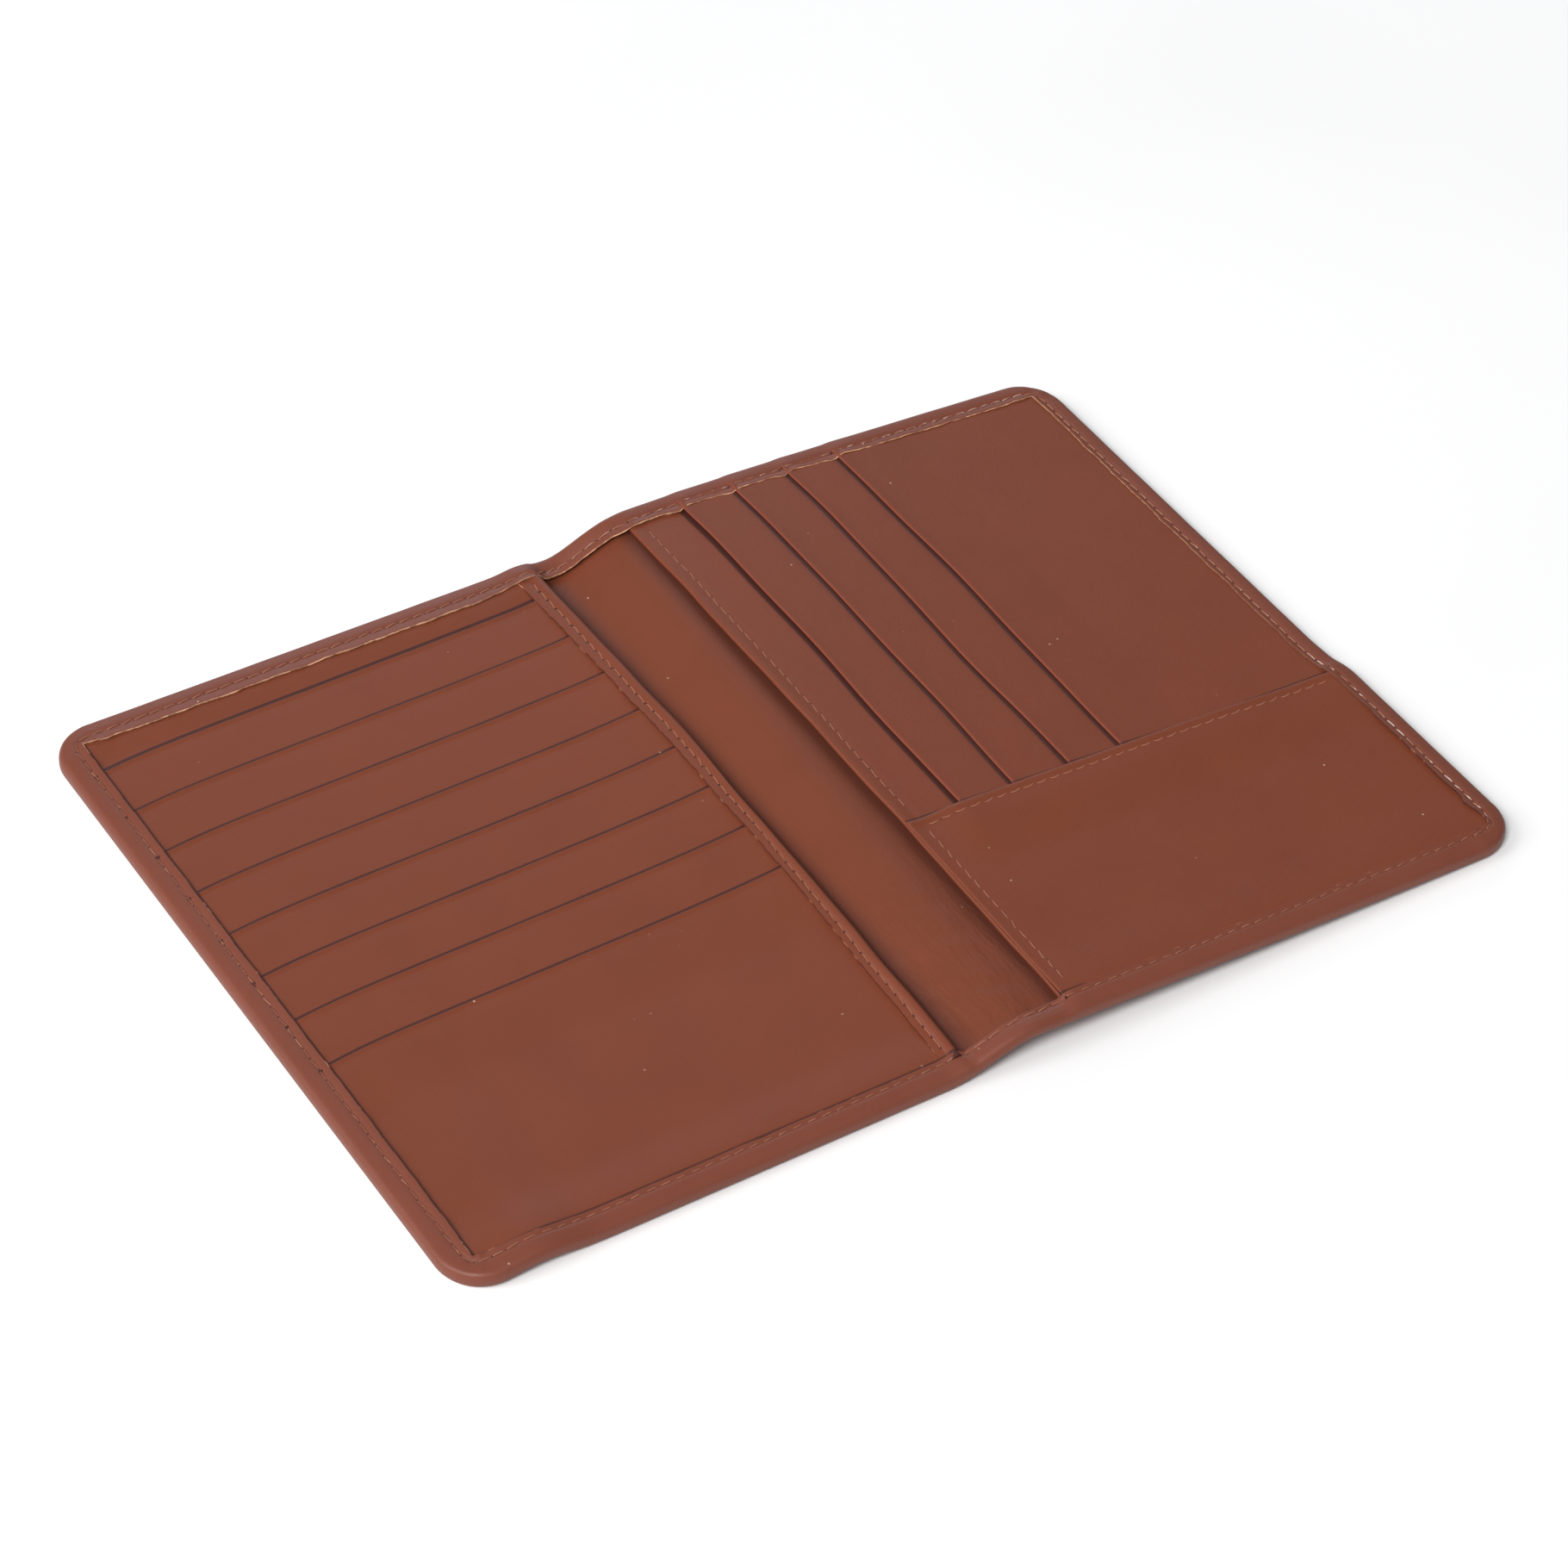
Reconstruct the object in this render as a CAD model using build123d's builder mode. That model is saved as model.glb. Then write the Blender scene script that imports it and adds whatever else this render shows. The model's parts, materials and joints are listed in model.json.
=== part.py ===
"""Two-leaf passport holder in turned-edge leather, lying open with its inside up.

The left leaf lies flat and carries eight stepped card pockets. The right leaf carries four upright
card pockets and a slip pocket, and leans down from the soft spine to its outer edge. Behind each
card panel is a full-height passport pocket that opens towards the spine. X runs across the open
holder, Y along the spine from front to back, and Z up. The origin is on the surface that the holder
lies on, below its middle.
"""

import os
from math import asin, atan2, cos, degrees, hypot, radians, sin

from build123d import *

os.makedirs("parts", exist_ok=True)

# Outline of the open holder, in millimetres
OPEN_WIDTH = 206.0
DEPTH = 145.0
CORNER_RADIUS = 8.3
EDGE_RADIUS = 1.1
HEM_WIDTH = 5.2
FOLD_LEFT = -6.5
FOLD_RIGHT = 5.0
FOLD_GAP = 0.15
SPINE_LIFT = 4.3
OUTER_LIFT = 0.1

# Thickness of each layer
COVER = 0.7
BOARD = 0.3
LINING = 0.25
PANEL = 0.25
FABRIC = 0.06
STRIP = 0.25
HEM_FLAP = 0.45
PLAY = 0.05
SLACK = 0.02

# Card pockets: the first mouth, the pitch of the mouths, and how the pocket fronts overlap
LEFT_POCKETS = 8
LEFT_FIRST_MOUTH = 61.4
LEFT_PITCH = 11.4
RIGHT_POCKETS = 4
RIGHT_FIRST_MOUTH = 16.5
RIGHT_PITCH = 11.05
OVERLAP = 2.5
GLUED = 2.0
CARD_DEPTH = 48.0
UNDER_HEM = 2.0
UPRIGHT_END = -26.0
SLIP_MOUTH = -22.4
SLIP_SHELF = 4.0
SLIP_KNEE = 16.0

# Edges beside the spine, measured outwards from each fold
BOARD_SETBACK = 2.5
LEFT_PANEL_EDGE = 2.15
RIGHT_PANEL_EDGE = 5.4
BINDING_WIDTH = 4.0
TURNED_IN = 8.0
STEP = 0.5

# Sewing thread
STITCH = (2.1, 0.45, 0.15)
STITCH_PITCH = 3.0
CURVE_CLEARANCE = 0.12
HEM_SEAM = 1.65
PANEL_SEAM = 2.5
MOUTH_SEAM = 1.8

# Reaches and heights worked out from the sizes above
HALF_DEPTH = DEPTH / 2
WINDOW_HALF = HALF_DEPTH - HEM_WIDTH
TUCK_HALF = WINDOW_HALF + UNDER_HEM
LEFT_REACH = OPEN_WIDTH / 2 + FOLD_LEFT
RIGHT_REACH = OPEN_WIDTH / 2 - FOLD_RIGHT
LEFT_TUCK = LEFT_REACH - HEM_WIDTH + UNDER_HEM
RIGHT_TUCK = RIGHT_REACH - HEM_WIDTH + UNDER_HEM
TILT = degrees(asin((SPINE_LIFT - OUTER_LIFT) / RIGHT_REACH))

LINING_BASE = COVER + BOARD
TURN_BASE = LINING_BASE + LINING + PLAY
PANEL_BASE = TURN_BASE + PANEL + PLAY
FABRIC_RISE = FABRIC + SLACK
FABRIC_DROP = FABRIC_RISE * (CARD_DEPTH - RIGHT_PITCH) / RIGHT_PITCH
STRIP_BASE = PANEL_BASE + PANEL + FABRIC_DROP + FABRIC_RISE + PLAY
STRIP_TOP = STRIP_BASE + (STRIP + PLAY) * (1 + OVERLAP / RIGHT_PITCH) + STRIP
UPPER_BASE = STRIP_TOP + PLAY
HEM_UNDERSIDE = UPPER_BASE + STRIP + PLAY
HEM_TOP = HEM_UNDERSIDE + HEM_FLAP
LOW_UNDERSIDE = TURN_BASE
LOW_TOP = LOW_UNDERSIDE + HEM_FLAP

# Each leaf is drawn from its fold outwards; the right one leans down towards its outer edge
LEFT_LEAF = Plane(origin=(FOLD_LEFT, 0, 0), x_dir=(-1, 0, 0), z_dir=(0, 0, 1))
RIGHT_LEAF = Plane(
    origin=(FOLD_RIGHT, 0, SPINE_LIFT),
    x_dir=(cos(radians(TILT)), 0, -sin(radians(TILT))),
    z_dir=(sin(radians(TILT)), 0, cos(radians(TILT))),
)
LEAVES = (
    ("left", LEFT_LEAF, LEFT_REACH, LEFT_PANEL_EDGE),
    ("right", RIGHT_LEAF, RIGHT_REACH, RIGHT_PANEL_EDGE),
)


def leaf_outline(reach, start, inset):
    """Outline of a leaf: square at its fold side, rounded at its two outer corners."""
    with BuildSketch() as outline:
        with Locations(((start + reach - inset) / 2, 0)):
            Rectangle(reach - inset - start, DEPTH - 2 * inset)
        fillet(outline.vertices().group_by(Axis.X)[-1], CORNER_RADIUS - inset)
    return outline.sketch


def rectangle_between(low, high):
    """A rectangle given by two opposite corners."""
    with BuildSketch() as shape:
        with Locations(((low[0] + high[0]) / 2, (low[1] + high[1]) / 2)):
            Rectangle(high[0] - low[0], high[1] - low[1])
    return shape.sketch


def closed_section(*points):
    """A straight-sided section through the given points."""
    with BuildSketch() as section:
        with BuildLine():
            Polyline(*points, close=True)
        make_face()
    return section.sketch


def pocket_section(pitch, length):
    """Section of a pocket front: down from its raised mouth to its knee, then level."""
    knee = pitch + OVERLAP
    rise = (STRIP + PLAY) * knee / pitch
    under = [(0, rise), (knee, 0), (length, 0)] if length > knee else [(0, rise), (knee, 0)]
    over = [(away, height + STRIP) for away, height in reversed(under)]
    return closed_section(*under, *over)


def fabric_section(pitch):
    """Section of the thin fabric that takes a pocket front down to the pocket's bottom."""
    start = pitch + OVERLAP - GLUED
    drop = FABRIC_RISE * (CARD_DEPTH - start) / pitch
    over = [(start, -SLACK), (CARD_DEPTH, -SLACK - drop)]
    under = [(away, height - FABRIC) for away, height in reversed(over)]
    return closed_section(*over, *under)


def spine_section(base, top):
    """Section of one layer of the spine, between two heights above its outside."""
    start = FOLD_LEFT + FOLD_GAP
    end = FOLD_RIGHT - FOLD_GAP
    directions = ((1, 0), (cos(radians(TILT)), -sin(radians(TILT))))
    with BuildSketch() as section:
        with BuildLine():
            under = Spline((start, base), (end, SPINE_LIFT + base), tangents=directions)
            over = Spline((start, top), (end, SPINE_LIFT + top), tangents=directions)
            Line(under @ 0, over @ 0)
            Line(under @ 1, over @ 1)
        make_face()
    return section.sketch


def carried(plane, section, length):
    """A piece made by carrying a section straight along its plane's normal."""
    with BuildPart() as piece:
        with BuildSketch(plane):
            add(section)
        extrude(amount=length)
    return piece


def seam(start, end, height):
    """Places for a straight row of stitches between two points at one height."""
    along = (end[0] - start[0], end[1] - start[1])
    count = int(hypot(*along) / STITCH_PITCH)
    turn = degrees(atan2(along[1], along[0]))
    shares = [(index + 0.5) / count for index in range(count)]
    return [
        Location((start[0] + share * along[0], start[1] + share * along[1], height), (0, 0, turn))
        for share in shares
    ]


def stitches(plane, places):
    """One small block of thread at each place."""
    with BuildPart(plane) as thread:
        with Locations(*places):
            Box(*STITCH, align=(Align.CENTER, Align.CENTER, Align.MIN))
    return thread


def save(piece, label):
    """Names a finished piece and writes it to its own file."""
    piece.part.label = label
    export_step(piece.part, f"parts/{label}.step")


for side, leaf, reach, panel_edge in LEAVES:
    # Cover: the outer leather, turned over the inside along its three free edges. The turned hem
    # is low beside the spine and steps up where the card panel begins.
    outwards = Axis(leaf.origin, leaf.x_dir)
    upwards = Axis(leaf.origin, leaf.z_dir)
    whole = leaf_outline(reach, FOLD_GAP, 0)
    high_hollow = leaf_outline(reach, panel_edge - PLAY, COVER)
    low_hollow = rectangle_between((0, COVER - HALF_DEPTH), (panel_edge, HALF_DEPTH - COVER))
    window = rectangle_between((0, -WINDOW_HALF), (reach - HEM_WIDTH, WINDOW_HALF))
    beside_spine = rectangle_between((0, -DEPTH), (panel_edge - STEP, DEPTH))
    with BuildPart() as cover:
        with BuildSketch(leaf):
            add(whole)
        extrude(amount=HEM_TOP)
        levels = cover.faces().sort_by(upwards)
        rims = levels[0].edges().sort_by(outwards)[1:] + levels[-1].edges().sort_by(outwards)[1:]
        fillet(rims, EDGE_RADIUS)
        with BuildSketch(leaf.offset(COVER)):
            add(high_hollow)
        extrude(amount=HEM_UNDERSIDE - COVER, mode=Mode.SUBTRACT)
        with BuildSketch(leaf.offset(COVER)):
            add(low_hollow)
        extrude(amount=LOW_UNDERSIDE - COVER, mode=Mode.SUBTRACT)
        with BuildSketch(leaf.offset(COVER)):
            add(window)
        extrude(amount=HEM_TOP, mode=Mode.SUBTRACT)
        with BuildSketch(leaf.offset(LOW_TOP)):
            add(beside_spine)
        extrude(amount=HEM_TOP, mode=Mode.SUBTRACT)
    save(cover, f"{side}_cover")

    # Stiffener board and lining, laid inside the cover
    inset = COVER + PLAY
    board_outline = leaf_outline(reach, panel_edge + BOARD_SETBACK, inset)
    save(carried(leaf.offset(COVER), board_outline, BOARD), f"{side}_board")
    lining_outline = leaf_outline(reach, FOLD_GAP, inset)
    save(carried(leaf.offset(LINING_BASE), lining_outline, LINING), f"{side}_lining")

    # Seam round the hem
    seam_out = reach - HEM_WIDTH + HEM_SEAM
    seam_depth = WINDOW_HALF + HEM_SEAM
    places = seam((seam_out, -seam_depth), (seam_out, seam_depth), HEM_TOP)
    for depth in (-seam_depth, seam_depth):
        places += seam((panel_edge, depth), (seam_out - STITCH_PITCH / 2, depth), HEM_TOP)
        if panel_edge > 2 * STITCH_PITCH:
            places += seam((FOLD_GAP, depth), (panel_edge - STEP, depth), LOW_TOP)
    save(stitches(leaf, places), f"{side}_border_stitching")

# Spine: a soft band that curves up from the left leaf to the right one
with BuildPart() as spine_cover:
    with BuildSketch(Plane.XZ.offset(-HALF_DEPTH)):
        add(spine_section(0, COVER))
    extrude(amount=DEPTH)
    for flap_back in (HALF_DEPTH, -WINDOW_HALF):
        with BuildSketch(Plane.XZ.offset(-flap_back)):
            add(spine_section(LOW_UNDERSIDE, LOW_TOP))
        extrude(amount=HEM_WIDTH)
    for wall_back in (HALF_DEPTH, COVER - HALF_DEPTH):
        with BuildSketch(Plane.XZ.offset(-wall_back)):
            add(spine_section(COVER, LOW_UNDERSIDE))
        extrude(amount=COVER)
save(spine_cover, "spine_cover")

spine_lining = carried(
    Plane.XZ.offset(COVER + PLAY - HALF_DEPTH),
    spine_section(LINING_BASE, LINING_BASE + LINING),
    DEPTH - 2 * (COVER + PLAY),
)
save(spine_lining, "spine_lining")

spine_arc = Spline(
    (FOLD_LEFT + FOLD_GAP, LOW_TOP + CURVE_CLEARANCE),
    (FOLD_RIGHT - FOLD_GAP, SPINE_LIFT + LOW_TOP + CURVE_CLEARANCE),
    tangents=((1, 0), (cos(radians(TILT)), -sin(radians(TILT)))),
)
spine_count = int(spine_arc.length / STITCH_PITCH)
spine_places = []
for index in range(spine_count):
    share = (index + 0.5) / spine_count
    spot = spine_arc @ share
    lean = spine_arc % share
    over = (-lean.Y, 0, lean.X)
    for depth in (-WINDOW_HALF - HEM_SEAM, WINDOW_HALF + HEM_SEAM):
        place = Plane(origin=(spot.X, depth, spot.Y), x_dir=(lean.X, 0, lean.Y), z_dir=over)
        spine_places.append(place.location)
save(stitches(Plane.XY, spine_places), "spine_stitching")

# Left card panel, with a binding folded round its spine edge
left_edge = LEFT_PANEL_EDGE + PANEL + PLAY
left_panel_outline = leaf_outline(LEFT_REACH, left_edge, COVER + PLAY)
save(carried(LEFT_LEAF.offset(PANEL_BASE), left_panel_outline, PANEL), "left_card_panel")

binding_end = LEFT_PANEL_EDGE + BINDING_WIDTH
binding_section = closed_section(
    (LEFT_PANEL_EDGE, TURN_BASE),
    (binding_end, TURN_BASE),
    (binding_end, TURN_BASE + PANEL),
    (LEFT_PANEL_EDGE + PANEL, TURN_BASE + PANEL),
    (LEFT_PANEL_EDGE + PANEL, UPPER_BASE),
    (binding_end, UPPER_BASE),
    (binding_end, UPPER_BASE + PANEL),
    (LEFT_PANEL_EDGE, UPPER_BASE + PANEL),
)
binding_plane = Plane(origin=(FOLD_LEFT, -TUCK_HALF, 0), x_dir=(-1, 0, 0), z_dir=(0, 1, 0))
save(carried(binding_plane, binding_section, 2 * TUCK_HALF), "left_binding")
binding_middle = LEFT_PANEL_EDGE + BINDING_WIDTH / 2
binding_seam = seam((binding_middle, -WINDOW_HALF), (binding_middle, WINDOW_HALF), UPPER_BASE + PANEL)
save(stitches(LEFT_LEAF, binding_seam), "left_binding_stitching")

# Left card pockets, from the back of the holder to its front, each mouth facing back
left_width = LEFT_TUCK - left_edge
for index in range(LEFT_POCKETS):
    mouth = LEFT_FIRST_MOUTH - index * LEFT_PITCH
    is_last = index == LEFT_POCKETS - 1
    length = TUCK_HALF + mouth if is_last else LEFT_PITCH + OVERLAP
    side_plane = Plane(
        origin=(FOLD_LEFT - left_edge, mouth, STRIP_BASE),
        x_dir=(0, -1, 0),
        z_dir=(-1, 0, 0),
    )
    front = carried(side_plane, pocket_section(LEFT_PITCH, length), left_width)
    save(front, f"left_card_pocket_{index + 1}")
    if not is_last:
        fabric = carried(side_plane, fabric_section(LEFT_PITCH), left_width)
        save(fabric, f"left_pocket_lining_{index + 1}")

# Right card panel, its spine edge turned in underneath
right_panel_section = closed_section(
    (RIGHT_PANEL_EDGE, TURN_BASE),
    (RIGHT_PANEL_EDGE + TURNED_IN, TURN_BASE),
    (RIGHT_PANEL_EDGE + TURNED_IN, TURN_BASE + PANEL),
    (RIGHT_PANEL_EDGE + PANEL, TURN_BASE + PANEL),
    (RIGHT_PANEL_EDGE + PANEL, PANEL_BASE),
    (RIGHT_TUCK, PANEL_BASE),
    (RIGHT_TUCK, PANEL_BASE + PANEL),
    (RIGHT_PANEL_EDGE, PANEL_BASE + PANEL),
)
right_back = Plane(
    origin=RIGHT_LEAF.from_local_coords((0, TUCK_HALF, 0)), x_dir=RIGHT_LEAF.x_dir, z_dir=(0, -1, 0)
)
save(carried(right_back, right_panel_section, 2 * TUCK_HALF), "right_card_panel")

# Right card pockets, from the spine outwards, each mouth facing the spine
for index in range(RIGHT_POCKETS):
    mouth = RIGHT_FIRST_MOUTH + index * RIGHT_PITCH
    is_last = index == RIGHT_POCKETS - 1
    length = RIGHT_TUCK - mouth if is_last else RIGHT_PITCH + OVERLAP
    end_plane = Plane(
        origin=RIGHT_LEAF.from_local_coords((mouth, TUCK_HALF, STRIP_BASE)),
        x_dir=RIGHT_LEAF.x_dir,
        z_dir=(0, -1, 0),
    )
    front = carried(end_plane, pocket_section(RIGHT_PITCH, length), TUCK_HALF - UPRIGHT_END)
    save(front, f"right_card_pocket_{index + 1}")
    if not is_last:
        fabric = carried(end_plane, fabric_section(RIGHT_PITCH), TUCK_HALF - UPRIGHT_END)
        save(fabric, f"right_pocket_lining_{index + 1}")

# Slip pocket across the front of the right leaf, over the ends of the upright pockets
slip_rise = UPPER_BASE - STRIP_BASE
slip_under = [(0, slip_rise), (SLIP_SHELF, slip_rise), (SLIP_KNEE, 0), (TUCK_HALF + SLIP_MOUTH, 0)]
slip_over = [(away, height + STRIP) for away, height in reversed(slip_under)]
slip_plane = Plane(
    origin=RIGHT_LEAF.from_local_coords((RIGHT_TUCK, SLIP_MOUTH, STRIP_BASE)),
    x_dir=(0, -1, 0),
    z_dir=-RIGHT_LEAF.x_dir,
)
slip_section = closed_section(*slip_under, *slip_over)
save(carried(slip_plane, slip_section, RIGHT_TUCK - RIGHT_PANEL_EDGE), "slip_pocket")
slip_line = SLIP_MOUTH - MOUTH_SEAM
slip_seam = seam(
    (RIGHT_PANEL_EDGE + PANEL_SEAM, slip_line),
    (RIGHT_REACH - HEM_WIDTH, slip_line),
    UPPER_BASE + STRIP,
)
save(stitches(RIGHT_LEAF, slip_seam), "slip_pocket_stitching")

# Seam beside the turned edge of the right card panel
edge_line = RIGHT_PANEL_EDGE + PANEL_SEAM
edge_seam = seam((edge_line, SLIP_MOUTH + MOUTH_SEAM), (edge_line, WINDOW_HALF), PANEL_BASE + PANEL)
save(stitches(RIGHT_LEAF, edge_seam), "right_edge_stitching")
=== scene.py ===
"""Visual model of a two-leaf leather passport holder, lying open with its inside up.

Every leather piece is a sheet drawn on the flat pattern of the holder and then laid on one curved
bed. On the flat pattern, u runs across the open holder, v along the spine from front to back, and h
is the height above the outside of the cover. The formulas are in millimetres; meshes are written in
metres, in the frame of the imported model.
"""

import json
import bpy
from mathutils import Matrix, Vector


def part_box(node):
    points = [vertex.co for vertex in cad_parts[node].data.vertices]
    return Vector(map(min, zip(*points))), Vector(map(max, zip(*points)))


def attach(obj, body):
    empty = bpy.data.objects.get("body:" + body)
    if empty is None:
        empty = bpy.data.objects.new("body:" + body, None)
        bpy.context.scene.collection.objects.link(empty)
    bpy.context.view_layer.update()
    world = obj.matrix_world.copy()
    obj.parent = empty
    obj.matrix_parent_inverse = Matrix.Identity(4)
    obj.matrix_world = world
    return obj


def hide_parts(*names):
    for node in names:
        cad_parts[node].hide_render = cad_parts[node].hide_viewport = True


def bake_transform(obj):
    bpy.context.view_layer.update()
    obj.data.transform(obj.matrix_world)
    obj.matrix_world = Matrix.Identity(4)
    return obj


bl_info = {
    "name": "Leather Passport Holder",
    "version": (1, 0, 0),
    "blender": (4, 5, 0),
    "location": "3D View > Sidebar > Passport Holder",
    "description": "Builds the leather, pockets and stitching of a two-leaf passport holder",
    "category": "Object",
}

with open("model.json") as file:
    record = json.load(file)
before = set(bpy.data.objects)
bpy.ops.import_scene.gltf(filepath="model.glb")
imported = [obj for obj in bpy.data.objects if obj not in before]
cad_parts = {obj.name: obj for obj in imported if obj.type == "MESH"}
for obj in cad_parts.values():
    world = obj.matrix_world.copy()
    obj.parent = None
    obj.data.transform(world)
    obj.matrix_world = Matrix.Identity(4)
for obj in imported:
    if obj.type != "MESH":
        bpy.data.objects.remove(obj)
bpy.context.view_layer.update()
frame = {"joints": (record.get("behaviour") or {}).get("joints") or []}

import bpy
import numpy as np
from mathutils import Matrix, Vector

MM = 0.001


# ---------------------------------------------------------------------------------------------
# Places taken from the frame, in millimetres


def corner(node, end, axis):
    """One coordinate of a node's lowest (0) or highest (1) corner."""
    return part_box(node)[end]["xyz".index(axis)] / MM


def fold_line(joint):
    """Where the named fold runs across the holder."""
    return next(j["pos_m"][0] for j in frame["joints"] if j["name"] == joint) / MM


LEFT_END = corner("left_cover", 0, "x")
RIGHT_END = corner("right_cover", 1, "x")
FRONT_END = corner("left_cover", 0, "y")
BACK_END = corner("left_cover", 1, "y")
LEFT_FOLD = fold_line("left_fold")
RIGHT_FOLD = fold_line("right_fold")
SPLIT = (LEFT_FOLD + RIGHT_FOLD) / 2
BINDING_RAW = corner("left_binding", 0, "x") + 0.2
BINDING_SEAM = 0.42
BINDING_FOLD = corner("left_binding", 1, "x")
PANEL_FOLD = corner("right_card_panel", 0, "x")
LEFT_TUCK = corner("left_card_pocket_1", 0, "x")
RIGHT_TUCK = corner("right_card_pocket_4", 1, "x")
BACK_TUCK = corner("right_card_pocket_1", 1, "y")
FRONT_TUCK = corner("left_card_pocket_8", 0, "y")
UPRIGHT_END = corner("right_card_pocket_1", 0, "y")
SLIP_MOUTH = corner("slip_pocket", 1, "y")
LEFT_MOUTHS = [corner(f"left_card_pocket_{k}", 1, "y") for k in range(1, 9)]
RIGHT_MOUTHS = [corner(f"right_card_pocket_{k}", 0, "x") for k in range(1, 5)]
HALF_DEPTH = (BACK_END - FRONT_END) / 2
HEM_WIDTH = 5.2
CORNER_RADIUS = 8.3
WINDOW_HALF = HALF_DEPTH - HEM_WIDTH

# Thicknesses, insets from the outline, and radii of the hem's section
LEATHER = 0.7
FLAP = 0.5
LINING_THICK = 0.22
LINING_INSET = 1.3
BOARD_THICK = 0.26
BOARD_INSET = 1.0
LEFT_PANEL_THICK = 0.3
RIGHT_PANEL_THICK = 0.38
BINDING_THICK = 0.34
SLIP_THICK = 0.5
FABRIC_THICK = 0.06
UNDER_RADIUS = 0.85
OVER_RADIUS = 1.25

# Heights above the outside of the cover, and distances of the seams from their edges
LINING_TOP = 1.2
SEAM_INSET = 1.65
EDGE_SEAM = 2.4
MOUTH_SEAM = 1.8
UNDER_GROOVE = 0.2
LEFT_PANEL_TOP = 1.7
RIGHT_PANEL_TOP = 2.2
POCKET_BASE = 2.1
POCKET_PLAY = 0.04
POCKET_OVERLAP = 2.5
MOUTH_TOP = 3.0
SLIP_CLIMB = 0.35
HEM_EDGE = 2.85
HEM_LEFT = 3.3
HEM_SPINE = 2.15
HEM_RIGHT = 2.95
HEM_SLIP = 3.35


# ---------------------------------------------------------------------------------------------
# Small shapes used by the formulas


def size(name):
    """One of the holder's adjustable sizes, in millimetres."""
    return getattr(bpy.context.scene.holder_sizes, name) / MM


def ease(x):
    """0 below x = 0, 1 above x = 1, and 3x^2 - 2x^3 between them."""
    x = np.clip(x, 0.0, 1.0)
    return x * x * (3.0 - 2.0 * x)


def swell(x, middle, spread):
    """A bell: exp(-((x - middle) / spread)^2)."""
    return np.exp(-(((x - middle) / spread) ** 2))


def blend_of(a, b, share):
    """a where share is 0, b where it is 1."""
    return a + (b - a) * share


def travelled(x, y):
    """Distance along a line of points, from its first."""
    return np.concatenate(([0.0], np.cumsum(np.hypot(np.diff(x), np.diff(y)))))


def ripple(x, seed, spacing):
    """Smooth seeded noise between about -1 and 1: three sines of uneven pitch added up."""
    turns = np.random.default_rng(seed).uniform(0.0, 2.0 * np.pi, 3)
    pitches = spacing * np.array([1.0, 0.618, 0.37])
    waves = [np.sin(2.0 * np.pi * x / p + t) for p, t in zip(pitches, turns)]
    return (waves[0] + 0.7 * waves[1] + 0.45 * waves[2]) / 1.7


# ---------------------------------------------------------------------------------------------
# The bed that everything lies on


def lift(u, v):
    """How high the outside of the cover stands above the table.

    The left leaf is flat. From a crease that runs aslant across the spine the bed climbs, as an
    eased step, to a crest beside the right leaf, and falls from there to the right edge: straight
    along the front and rounder along the back. The front edge of the left leaf stands off the table
    a little beside its outer corner.
    """
    back = np.clip((v - FRONT_END) / (BACK_END - FRONT_END), 0.0, 1.0)
    foot = blend_of(-13.5, -5.0, ease(back))
    crest_at = blend_of(3.5, 10.5, back)
    crest = size("spine_rise") + blend_of(-0.3, 0.3, back)
    climb = ease((u - foot) / (crest_at - foot))
    away = np.clip((u - crest_at) / (RIGHT_END - crest_at), 0.0, 1.0)
    fall = blend_of(1.0 - (1.0 - away) ** 1.25, away**1.55, back)
    ridge = 0.5 * swell(u, BINDING_RAW + 1.6, 3.2) * back**5
    wave = 1.0 * swell(u, -88.0, 6.5) * (1.0 - back) ** 6
    return crest * climb * (1.0 - fall) + ridge + wave


def lay(u, v, h):
    """Puts points of the flat pattern on the bed: the foot (u, v, lift) plus h along its normal."""
    step = 0.05
    slope_u = (lift(u + step, v) - lift(u - step, v)) / (2.0 * step)
    slope_v = (lift(u, v + step) - lift(u, v - step)) / (2.0 * step)
    length = np.sqrt(1.0 + slope_u**2 + slope_v**2)
    foot = np.stack(np.broadcast_arrays(u, v, lift(u, v)), axis=-1)
    normal = np.stack((-slope_u, -slope_v, np.ones_like(slope_u)), axis=-1) / length[..., None]
    return foot + normal * np.asarray(h)[..., None]


# ---------------------------------------------------------------------------------------------
# Meshes


def grid_quads(index):
    """The quads of a grid of vertex numbers, facing up where rows run along u."""
    corners = (index[:-1, :-1], index[1:, :-1], index[1:, 1:], index[:-1, 1:])
    return np.stack(corners, axis=-1).reshape(-1, 4)


def rim_of(index):
    """The edge of a grid of vertex numbers, counter-clockwise seen from above."""
    return np.concatenate((index[:-1, 0], index[-1, :-1], index[:0:-1, -1], index[0, :0:-1]))


def closed_skins(over, under, quads, rim):
    """Vertices and quads of a sheet: upper skin, lower skin turned over, and edge wall."""
    count = len(over)
    after = np.roll(rim, -1)
    wall = np.stack((rim, rim + count, after + count, after), axis=-1)
    return np.concatenate((over, under)), np.concatenate((quads, quads[:, ::-1] + count, wall))


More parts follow.
